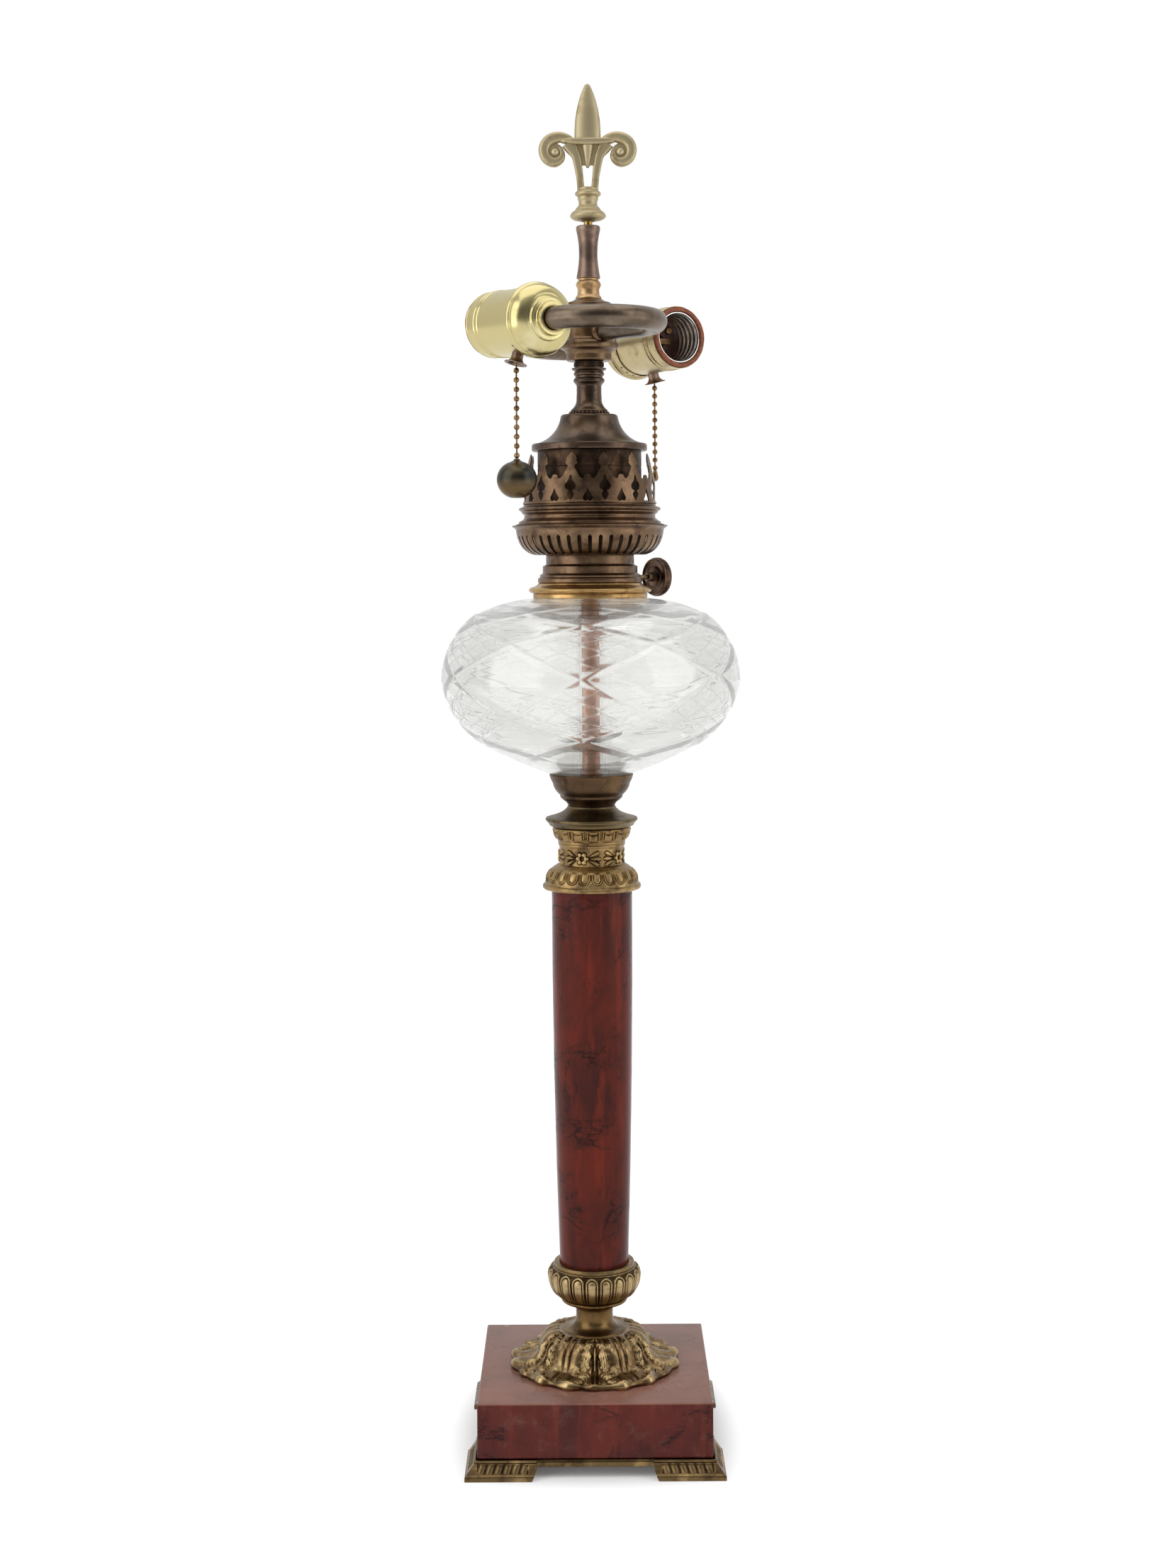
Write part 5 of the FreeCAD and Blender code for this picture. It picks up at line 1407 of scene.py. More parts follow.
@dataclass
class Column(Assembly):
    """Marble column with a slight swell, and the gilt collar on it."""

    low: float = 89.3
    foot: float = 18.1
    top: float = 21.4
    high: float = 291.6
    collar_low: float = 289.4
    eggs: int = 22
    darts: int = 15
    rosettes: int = 5
    sides: int = 800

    def ovolo(self, angle: np.ndarray, up: np.ndarray) -> np.ndarray:
        """Heights of the row of double-outlined eggs.

        Args:
            angle: Angles round the axis.
            up: Heights over the collar's foot in mm.

        Returns:
            The relief in mm.
        """
        across = marked(angle, self.eggs, 9.5) * 24.0
        shape = capsule(across, up, 2.95, 4.5, 30.0)
        field = 0.42 * domed(shape / 0.6) + 0.18 * eased(shape, 0.7, 0.78) * (shape < 0.97)
        lines = 0.6 * bell(shape - 0.66, 0.09) + 0.65 * bell(shape - 1.02, 0.10)
        return (field - lines * (shape < 1.3)) * window(up, 3.9, 4.4, 9.4, 10.8)

    def frieze(self, angle: np.ndarray, up: np.ndarray) -> np.ndarray:
        """Heights of the rosettes, each with a spray of three slender leaves on both sides.

        Args:
            angle: Angles round the axis.
            up: Heights over the collar's foot in mm.

        Returns:
            The relief in mm.
        """
        pitch = marked(angle, self.rosettes, 17.5)
        flat, rise = pitch * 17.4, up - 17.4
        polar, far = np.arctan2(rise, flat), np.hypot(flat, rise)
        petal = np.hypot(far - 2.35, 0.5 * far * (wrapped(polar, 6)) * 2.0)
        rosette = 0.95 * domed(petal / 1.25)
        line = np.where((far > 1.1) & (far < 4.4), -0.45 * bell(petal - 1.4, 0.2), 0.0)
        lift = np.where(rosette > 0.02, rosette, np.where(far < 1.0, -0.9, line))
        for lean in (-0.44, 0.0, 0.44):
            along = (np.abs(flat) - 2.0) * math.cos(lean) + rise * math.sin(lean)
            off = -(np.abs(flat) - 2.0) * math.sin(lean) + rise * math.cos(lean)
            share = np.clip(along / 8.2, 0, 1)
            wide = 0.12 + 0.85 * eased(share, 0.1, 0.85) * domed(((share - 0.8) / 0.2).clip(0, 1))
            inside = (along > 1.8) & (along < 8.4)
            leaf = eased(wide - np.abs(off), 0.0, 0.3) * 0.42
            edge = -0.62 * bell((np.abs(off) - wide - 0.16), 0.2)
            spray = np.where(np.abs(off) < wide, np.maximum(lift, leaf), lift + edge)
            lift = np.where(inside & (far > 3.4), spray, lift)
        return lift * window(up, 13.4, 13.8, 22.2, 22.6)

    def band(self, angle: np.ndarray, up: np.ndarray) -> np.ndarray:
        """Heights of the upper band: narrow engraved tongues joined by swags.

        Args:
            angle: Angles round the axis.
            up: Heights over the collar's foot in mm.

        Returns:
            The relief in mm.
        """
        across = marked(angle, self.darts, 9.5) * 19.4
        shape = capsule(across, up, 1.6, 26.4, 40.0)
        dart = 0.3 * window(shape, 0.5, 0.62, 0.78, 0.9) - 0.7 * (1 - eased(shape, 0.34, 0.5))
        dart -= 0.6 * bell(shape - 1.0, 0.15)
        swag_at = marked(angle, self.darts, 9.5 + 180 / self.darts) * 19.4
        sag = 31.4 - 1.5 * domed(swag_at / 2.5)
        swag = -0.65 * bell(up - sag, 0.3) + 0.12
        return np.where(shape < 1.25, dart, swag) * window(up, 25.8, 26.2, 31.4, 31.9)

    def carve(self, angle: np.ndarray, radius: np.ndarray, height: np.ndarray) -> np.ndarray:
        """Heights of the collar's ornament in mm.

        Args:
            angle: Angles round the axis.
            radius: Radii in mm.
            height: Heights over the floor in mm.

        Returns:
            The relief in mm.
        """
        up = height - self.collar_low
        lift = self.ovolo(angle, up) + self.frieze(angle, up) + self.band(angle, up)
        lift = lift - 0.3 * bell(up - 3.0, 0.25) - 0.3 * bell(up - 24.3, 0.25)
        return np.where((radius > 15.9) & (up > 2.3), lift, 0.0)

    def build(self) -> None:
        """Builds the column and its collar."""
        column = [(BORE, self.low), (self.foot, self.low, 0.0045), (self.top, self.high), (BORE, self.high)]
        self.piece("marble_shaft", ring_of(column, 160, None, 0.3, 4.0), COLUMN_MARBLE, ["marble_column"])
        low = self.collar_low
        profile = lifted(low, [
            (21.6, 2.2), (21.6, 0.0), (25.4, 0.0), (26.1, 0.6), (26.1, 1.9), (25.5, 2.7), (24.9, 3.3, 0.13),
            (19.2, 12.2), (18.4, 12.8), (17.4, 13.2), (17.2, 13.6), (17.2, 22.4), (17.7, 23.2),
            (18.0, 24.8), (17.9, 25.7, 0.10), (20.3, 30.4), (20.7, 31.4), (20.7, 32.3), (20.2, 32.9),
            (BORE, 32.9), (BORE, 2.2),
        ])
        collar = ring_of(profile, self.sides, self.carve, 0.3, 0.33)
        self.piece("ornamented_collar", collar, GILT_COLLAR, ["column_collar"], crease=60)
        self.abacus(low + 32.9)

    def abacus(self, low: float) -> None:
        """Builds the abacus ring with its cone, and the stepped cup.

        Args:
            low: Height of its foot in mm.
        """
        cone = lifted(low, [
            (BORE, 0.0), (19.7, 0.0), (22.4, 0.6), (22.9, 1.8), (24.3, 3.2), (24.6, 3.8), (24.3, 4.7),
            (21.4, 5.5), (19.4, 6.0), (18.8, 6.4, -0.08), (12.9, 10.2), (12.6, 11.1), (BORE, 11.1),
        ])
        self.piece("abacus_with_cone", ring_of(cone, 128, None, 0.4, 1.2), GILT_OLIVE, ["abacus_cone"])
        low += 11.1
        cup = lifted(low, [
            (BORE, 0.0), (12.4, 0.0, -0.10), (15.2, 3.0), (15.7, 3.7), (16.5, 4.2), (16.7, 5.4),
            (17.3, 6.2, 0.09), (20.6, 12.0, 0.04), (22.2, 15.8), (22.4, 16.4), (22.1, 17.0), (BORE, 17.0),
        ])
        self.piece("stepped_font_cup", ring_of(cup, 128, None, 0.4, 1.2), GILT_BROWN, ["font_cup"])


@dataclass
class Font(Assembly):
    """Glass font with mitre bands in two slanting families, its pipe, sleeve and collar."""

    low: float = 350.4
    tall: float = 93.1
    bulb: float = 79.4
    wall: float = 3.4
    nodes: int = 6
    phase: float = -94.0
    band_mm: float = 2.4
    band_depth: float = 1.0
    sides: int = 600
    # Degrees that a band has run round, and the height that it has reached there
    levels: tuple = (
        (-120.0, 352.0), (-90.0, 362.5), (-60.0, 371.0), (-30.0, 382.6), (0.0, 404.0), (30.0, 421.5),
        (60.0, 431.0), (90.0, 437.5), (120.0, 443.0),
    )
    # Height and radius of the inner skin, for telling the skins apart
    inner_wall: tuple = (
        (350, 10), (354, 22), (361.5, 40), (369.6, 56.9), (376, 64.5), (383, 70), (391, 74.3),
        (400.2, 76.1), (410, 75), (418.5, 71.7), (426, 66.3), (432.7, 59.5), (438, 43), (441, 24),
        (443.5, 22),
    )

    def climb(self, height: np.ndarray) -> np.ndarray:
        """Degrees that a band has run round when it reaches a height."""
        degrees, heights = zip(*self.levels)
        return np.interp(height, heights, degrees)

    def carve(self, angle: np.ndarray, radius: np.ndarray, height: np.ndarray) -> np.ndarray:
        """Depths of the mitre bands in mm.

        Args:
            angle: Angles round the axis.
            radius: Radii in mm.
            height: Heights over the floor in mm.

        Returns:
            The relief in mm.
        """
        turn = np.degrees(angle) - self.phase
        climb = self.climb(height)
        steep = (self.climb(height + 0.5) - self.climb(height - 0.5))
        slope = np.hypot(180 / (math.pi * np.maximum(radius, 20)), steep * 0.9)
        deep = np.zeros(np.broadcast(angle, radius).shape)
        pitch = 360.0 / self.nodes
        for sign in (-1, 1):
            phase = (turn + sign * climb + pitch / 2) % pitch - pitch / 2
            gap = np.abs(phase) / slope
            deep = np.maximum(deep, np.clip(1 - gap / self.band_mm, 0, 1))
        fade = window(height, 359.0, 364.0, 437.5, 440.5)
        outer = self.on_outside(radius, height)
        return np.where(outer, -deep * self.band_depth * fade, 0.0)

    def on_outside(self, radius: np.ndarray, height: np.ndarray) -> np.ndarray:
        """Whether a profile point is on the outer skin."""
        inner = np.interp(height, *zip(*self.inner_wall))
        return radius > inner + self.wall * 0.55

    def build(self) -> None:
        """Builds the font and what is in it."""
        low, tall, bulb, wall = self.low, self.tall, self.bulb, self.wall
        profile = [
            (4.85, low), (22.2, low, 0.018), (bulb * 0.735, low + 16.1, 0.11), (bulb, low + 49.8, 0.12),
            (bulb * 0.77, low + 85.2, 0.043), (30.3, low + tall), (24.0, low + tall),
            (24.0, low + tall - wall * 0.8, -0.04),
            (bulb * 0.77 - wall * 0.5, low + 85.2 - wall * 0.85, -0.12), (bulb - wall, low + 49.8, -0.11),
            (bulb * 0.735 - wall * 0.45, low + 16.1 + wall * 0.9, -0.018), (22.4, low + wall * 1.05),
            (4.85, low + wall * 1.05),
        ]
        rows = outline(profile, 0.4, 0.0, True)
        fine: list = []
        for index, here in enumerate(rows):
            ahead = rows[(index + 1) % len(rows)]
            outside = bool(self.on_outside(np.array(here[0]), np.array(here[1])))
            gap = 0.85 if outside and 355 < here[1] < 441 else 4.0
            parts = max(1, int(math.ceil(float(np.hypot(*(ahead - here))) / gap)))
            fine += [here + (ahead - here) * part / parts for part in range(parts)]
        glass = turned(np.array(fine), self.sides, self.carve)
        made = self.piece("cut_glass_font", glass, CUT_GLASS, ["glass_font"], crease=80)
        self.map_cuts(made)
        self.dress("centre_pipe", PIPE)
        self.dress("font_sleeve", SLEEVE)
        self.collar()

    def map_cuts(self, made: bpy.types.Object) -> None:
        """Lays the map of the two families of bands on the glass.

        Args:
            made: The glass.
        """
        mesh = made.data
        corner = np.zeros(len(mesh.loops), np.int32)
        mesh.loops.foreach_get("vertex_index", corner)
        place = np.zeros(len(mesh.vertices) * 3)
        mesh.vertices.foreach_get("co", place)
        place = place.reshape(-1, 3)[corner] / MM
        turn = np.degrees(np.arctan2(place[:, 1], place[:, 0])) - self.phase
        starts = [face.loop_start for face in mesh.polygons]
        anchor = np.repeat(turn[starts], [face.loop_total for face in mesh.polygons])
        turn = anchor + (turn - anchor + 180) % 360 - 180
        climb = self.climb(place[:, 2])
        shown = self.on_outside(np.hypot(place[:, 0], place[:, 1]), place[:, 2])
        shown &= (place[:, 2] >= 364) & (place[:, 2] <= 437)
        pitch = 360.0 / self.nodes
        # Where both families read the same whole number, the finish draws no cut
        places = [np.where(shown, (turn + way * climb) / pitch, 0.4) for way in (-1, 1)]
        layer = mesh.uv_layers.new(name="cuts")
        layer.data.foreach_set("uv", np.stack(places, axis=-1).reshape(-1).astype(np.float32))

    def collar(self) -> None:
        """Builds the bright collar on the glass."""
        low = self.low + self.tall
        profile = lifted(low, [
            (21.7, 0.0), (30.0, 0.0), (30.4, 0.4), (30.4, 2.3), (30.0, 2.7), (31.6, 3.1, 0.12),
            (32.7, 4.4, 0.14), (30.6, 6.0), (29.2, 6.5), (28.4, 7.0), (27.9, 7.5), (27.7, 8.0), (21.7, 8.0),
        ])
        self.piece("bright_font_collar", ring_of(profile, 160, None, 0.35, 1.0), BRIGHT, ["font_collar"])


@dataclass
class Burner(Assembly):
    """Burner body, slotted basket, gallery ring, pierced crown, drum and cone cap."""

    low: float = 451.5
    slots: int = 43
    prongs: int = 12
    first_prong: float = -13.3
    beads: int = 30
    basket_low: float = 466.5
    crown_low: float = 493.5
    cone_low: float = 521.7

    def build(self) -> None:
        """Builds the burner from its body up."""
        low = self.low
        body = lifted(low, [
            (13.05, -7.2), (21.6, -7.2), (21.6, 0.0), (27.2, 0.0), (27.8, 0.7), (27.8, 2.4), (27.2, 3.0),
            (26.6, 3.3), (26.9, 4.0), (26.0, 4.9), (25.2, 5.3), (25.2, 9.0), (24.8, 9.3), (24.0, 9.5),
            (23.6, 9.9), (23.4, 10.4), (23.4, 15.0), (21.2, 15.0), (19.4, 5.7), (19.4, -5.7), (13.05, -5.7),
        ])
        self.piece("ringed_burner_body", ring_of(body, 160, None, 0.3, 1.2), ANTIQUE, ["burner_body"])
        self.dress("wick_tube", ANTIQUE)
        self.basket()
        self.gallery()
        self.crown()
        self.cone()

    def basket(self) -> None:
        """Builds the sheet basket with its air slots."""
        low = self.basket_low
        rows = outline(
            lifted(low, [
                (21.3, 0.0), (29.2, 0.0, 0.14), (38.1, 8.1, 0.04), (39.2, 12.6), (39.4, 13.8), (40.6, 14.6),
                (41.35, 15.2), (41.35, 15.7), (37.0, 15.75),
            ]),
            0.6,
            0.7,
        )
        marks = np.array([-0.5, -0.37, -0.25, -0.185, -0.10, 0.0, 0.10, 0.185, 0.25, 0.37])
        pitch = 2 * math.pi / self.slots
        angles = np.concatenate([(index + marks) * pitch for index in range(self.slots)]) - math.pi / 2
        columns = len(angles)
        across, back = rows[:, :1] * np.cos(angles), rows[:, :1] * np.sin(angles)
        points = np.stack([across, back, np.repeat(rows[:, 1:], columns, 1)], axis=-1).reshape(-1, 3)
        faces = []
        wide, narrow = {3, 4, 5, 6}, {4, 5}
        for row in range(len(rows) - 1):
            radius, height = (rows[row] + rows[row + 1]) / 2
            open_here: set = set()
            if radius > 30.4 and height < low + 10.4:
                open_here = wide if height < low + 9.7 else narrow
            for column in range(columns):
                if column % len(marks) in open_here:
                    continue
                beside = (column + 1) % columns
                here, above = row * columns, (row + 1) * columns
                faces.append((here + column, here + beside, above + beside, above + column))
        used = sorted({corner for face in faces for corner in face})
        renumber = {old: new for new, old in enumerate(used)}
        faces = [tuple(renumber[corner] for corner in face) for face in faces]
        basket = Surface(points[used], faces)
        self.piece("slotted_basket", basket, ANTIQUE, ["burner_basket"], wall_mm=0.6)

    def gallery(self) -> None:
        """Builds the ring stack on the basket."""
        low = self.basket_low + 15.8
        ring = lifted(low, [
            (32.6, 0.0), (39.3, 0.0), (39.5, 0.35), (37.8, 0.8), (37.8, 1.8), (36.6, 2.3),
            (35.2, 3.4, -0.08), (34.8, 5.2), (35.6, 6.2), (36.3, 6.6), (36.2, 7.3), (37.2, 7.7),
            (37.8, 8.4), (37.4, 9.2), (35.9, 9.7), (35.2, 10.3), (34.9, 11.2), (32.6, 11.2),
        ])
        self.piece("gallery_ring_stack", ring_of(ring, 180, None, 0.3, 1.2), ANTIQUE, ["gallery_ring"])
        low = self.basket_low + 1.2
        high = self.cone_low
        drum = [
            (26.4, low), (27.6, low), (27.6, high - 9.0), (27.3, high - 8.7), (27.6, high - 8.4),
            (27.6, high), (26.4, high),
        ]
        self.piece("dark_inner_drum", ring_of(drum, 128, None, 0.15, 3.0), DARK, ["inner_drum"])

    def crown(self) -> None:
        """Builds the pierced crown from one pitch of its sheet."""
        radius = 34.9
        half = math.pi * radius / self.prongs
        side = [
            (0.0, 26.3), (1.2, 25.4), (2.5, 23.9), (3.1, 22.6), (2.7, 21.8), (3.4, 21.3), (3.6, 20.6),
            (2.9, 20.0), (1.9, 19.5), (1.9, 18.6), (2.6, 17.2), (3.6, 15.6), (4.5, 13.9), (5.6, 12.8),
            (6.6, 12.5), (7.2, 12.9), (7.5, 13.9), (8.1, 14.6), (half, 14.8),
        ]
        club = [
            (0.0, 14.8), (0.6, 13.7), (0.85, 12.5), (1.4, 11.3), (2.3, 10.4), (3.0, 9.2), (3.0, 8.0),
            (2.4, 7.0), (1.35, 6.5), (0.95, 6.0), (1.7, 5.2), (1.95, 4.3), (1.5, 3.1), (0.65, 2.0),
            (0.0, 1.1),
        ]
        heart = [
            (0.0, 7.9), (0.7, 6.1), (1.6, 4.4), (2.6, 2.9), (2.5, 1.8), (1.7, 1.0), (0.7, 0.9), (0.0, 1.6),
        ]
        # A heart lies across the seam of two pitches, so the sheet is cut to one side of both figures
        shift = half * 0.62
        top = [(-across, up) for across, up in reversed(side[1:])] + side
        row = [(across + 2 * half * turn - shift, up) for turn in (0, 1) for across, up in top[turn:]]
        cut = next(index for index, point in enumerate(row) if point[0] > -half)
        (left, low), (right, high) = row[cut - 1], row[cut]
        ends = low + (high - low) * (-half - left) / (right - left)
        kept = [point for point in row if -half < point[0] < half]
        edge = [(-half, 0.0), (-half, ends)] + kept + [(half, ends), (half, 0.0)]
        loops = [edge]
        for figure, place in ((club, -shift), (heart, half - shift)):
            both = figure + [(-across, up) for across, up in reversed(figure[1:-1])]
            loops.append([(across + place, up) for across, up in both])
        sheet = sheet_from(loops, 1.9)
        across, up = sheet.points[:, 0], sheet.points[:, 2]
        lean = np.interp(up, [0, 0.6, 1.6, 11.0, 14.0, 26.5], [35.6, 35.5, 34.9, 34.9, 34.5, 31.9])
        angle = (across + shift) / radius - math.pi / 2
        points = np.stack([lean * np.cos(angle), lean * np.sin(angle), up + self.crown_low], axis=-1)
        pitch = Surface(points, sheet.faces)
        ring = REPEATER.ring(pitch, self.prongs, ANTIQUE)
        made = welded(ring.mesh("crown"), 3e-5)
        bmesh.ops.recalc_face_normals(made, faces=made.faces)
        face = max(made.faces, key=lambda one: one.calc_area())
        middle = face.calc_center_median()
        if face.normal.dot(Vector((middle.x, middle.y, 0))) < 0:
            bmesh.ops.reverse_faces(made, faces=made.faces)
        crown = read_off(made, MM).moved(spun(-self.first_prong))
        crown.crest = None
        self.piece("pierced_crown", crown, ANTIQUE, ["gallery_crown"], wall_mm=0.6)

    def cone(self) -> None:
        """Builds the cone cap, the beaded ring, the stem and the knurled nut."""
        low = self.cone_low
        cap = lifted(low, [
            (25.6, 0.0), (30.2, 0.0), (30.7, 0.5), (30.7, 3.0), (30.2, 3.8), (28.0, 4.1, -0.15),
            (15.2, 18.3), (14.9, 18.9), (14.3, 19.4), (BORE, 19.4), (BORE, 17.0), (12.5, 16.6, 0.15),
            (25.6, 2.6),
        ])
        self.piece("cone_cap_shell", ring_of(cap, 160, None, 0.35, 1.2), CONE, ["cone_cap"])
        low = low + 19.4
        bead = solid_of([(0, -0.82, 0.5), (0, 0.82)], 12, 0.0)
        bead = bead.moved(moved_by(10.1, 0, low + 0.75))
        beads = REPEATER.ring(bead, self.beads, KNOB)
        core = ring_of(lifted(low, [(BORE, 0.0), (9.7, 0.0), (9.7, 1.5), (BORE, 1.5)]), 96)
        self.piece("ring_of_beads", joined([beads, core]), KNOB, ["beaded_ring"])
        low = low + 1.5
        stem = lifted(low, [
            (BORE, 0.0), (9.9, 0.0), (10.0, 0.6), (9.6, 1.1, -0.13), (6.75, 7.0), (6.6, 10.0), (6.6, 13.8),
            (7.0, 14.6), (7.7, 15.4, 0.2), (8.05, 17.4), (7.2, 18.2), (7.3, 19.0, 0.25), (8.0, 20.6),
            (7.4, 21.5), (8.8, 22.2), (9.2, 22.7), (9.2, 23.2), (BORE, 23.2),
        ])
        self.piece("waisted_stem", ring_of(stem, 112, None, 0.3, 1.0), CONE, ["stem"])
        low = low + 23.2
        nut = lifted(low, [(BORE, 0.0), (7.5, 0.0), (7.6, 0.3), (7.6, 3.4), (7.3, 3.8), (BORE, 3.8)])
        nut = ring_of(nut, 96)
        rib = box_seed((0.5, 0.42, 2.7), (7.55, 0, low + 1.85), 0.6)
        knurl = REPEATER.ring(rib, 54, ANTIQUE)
        self.piece("knurled_stem_nut", joined([nut, knurl]), CONE, ["knurled_nut"])


@dataclass
class Cluster(Assembly):
    """Hub, lid, hooked arms, spools and stud."""

    low: float = 569.6
    turn: float = 34.2
    arm_rise: float = 14.4
    length: float = 51.3
    bend: float = 29.5
    tail: float = 8.0

    def build(self) -> None:
        """Builds the cluster."""
        low = self.low
        hub = lifted(low, [
            (BORE, 0.0), (11.5, 0.0), (11.9, 0.6), (11.9, 3.4, -0.16), (14.9, 6.3), (15.4, 7.0),
            (15.6, 7.8), (15.6, 9.0), (15.0, 10.2), (13.4, 11.2), (12.9, 12.0), (12.3, 22.4), (12.6, 24.6),
            (12.6, 28.4), (BORE, 28.4),
        ])
        bosses = []
        for side in Side:
            boss = solid_of([
                (0, 9.0), (6.4, 9.0), (6.6, 13.4), (6.0, 14.4), (5.3, 14.9), (0, 14.9),
            ], 56, 0.4)
            lay = spun(self.turn + side.value) @ spun(-90, "X")
            bosses.append(boss.moved(moved_by(0, 0, low + self.arm_rise) @ lay))
        self.piece("cluster_body", joined([ring_of(hub, 128, None, 0.4, 1.2)] + bosses), HUB, ["cluster_hub"])
        low += 28.4
        lid = lifted(low, [
            (STUD_BORE, 0.0), (12.4, 0.0), (12.8, 0.5), (12.8, 1.7), (11.4, 2.7, -0.06), (7.9, 4.0),
            (7.2, 4.5), (STUD_BORE, 4.5),
        ])
        self.piece("cluster_cover", ring_of(lid, 112, None, 0.35), HUB, ["cluster_lid"])
        low += 4.5
        lower = lifted(low, [
            (STUD_BORE, 0.0), (6.8, 0.0), (7.0, 0.7), (6.5, 1.6), (5.9, 2.2), (5.7, 5.2), (6.2, 6.4),
            (6.75, 7.6), (6.2, 9.2), (5.25, 10.0), (5.6, 11.0), (STUD_BORE, 11.0),
        ])
        self.piece("lower_spool_turning", ring_of(lower, 96, None, 0.35), SPOOL_BRASS, ["lower_spool"])
        low += 11.0
        upper = lifted(low, [
            (STUD_BORE, 0.0), (6.2, 0.0), (6.3, 0.8, -0.02), (4.95, 11.0, -0.02), (4.95, 14.5, -0.03),
            (6.2, 25.0), (6.4, 26.0), (6.4, 27.4), (6.0, 28.0), (STUD_BORE, 28.0),
        ])
        self.piece("upper_spool_turning", ring_of(upper, 96, None, 0.35, 1.5), SPOOL, ["upper_spool"])
        self.dress("finial_stud", STUD)
        for side in Side:
            self.arm(side)

    def arm(self, side: Side) -> None:
        """Builds one hooked arm.

        Args:
            side: Which of the two.
        """
        straight = np.linspace(8.0, self.length, 24)
        path = [(0.0, out, 0.0) for out in straight]
        for part in range(1, 49):
            angle = math.pi * part / 48
            path.append((self.bend * (1 - math.cos(angle)), self.length + self.bend * math.sin(angle), 0.0))
        path += [(2 * self.bend, self.length - out, 0.0) for out in np.linspace(1.0, self.tail, 6)]
        places = np.array(path)
        run = np.concatenate([[0], np.cumsum(np.linalg.norm(np.diff(places, axis=0), axis=1))])
        radii = 4.75 + 1.1 * eased(run, 6.0, 44.0)
        bar = swept(places, radii, 40)
        put = moved_by(0, 0, self.low + self.arm_rise) @ spun(self.turn + side.value)
        self.piece(side.word + "_hooked_arm", bar.moved(put), COPPER, [side.word + "_arm"], crease=50)


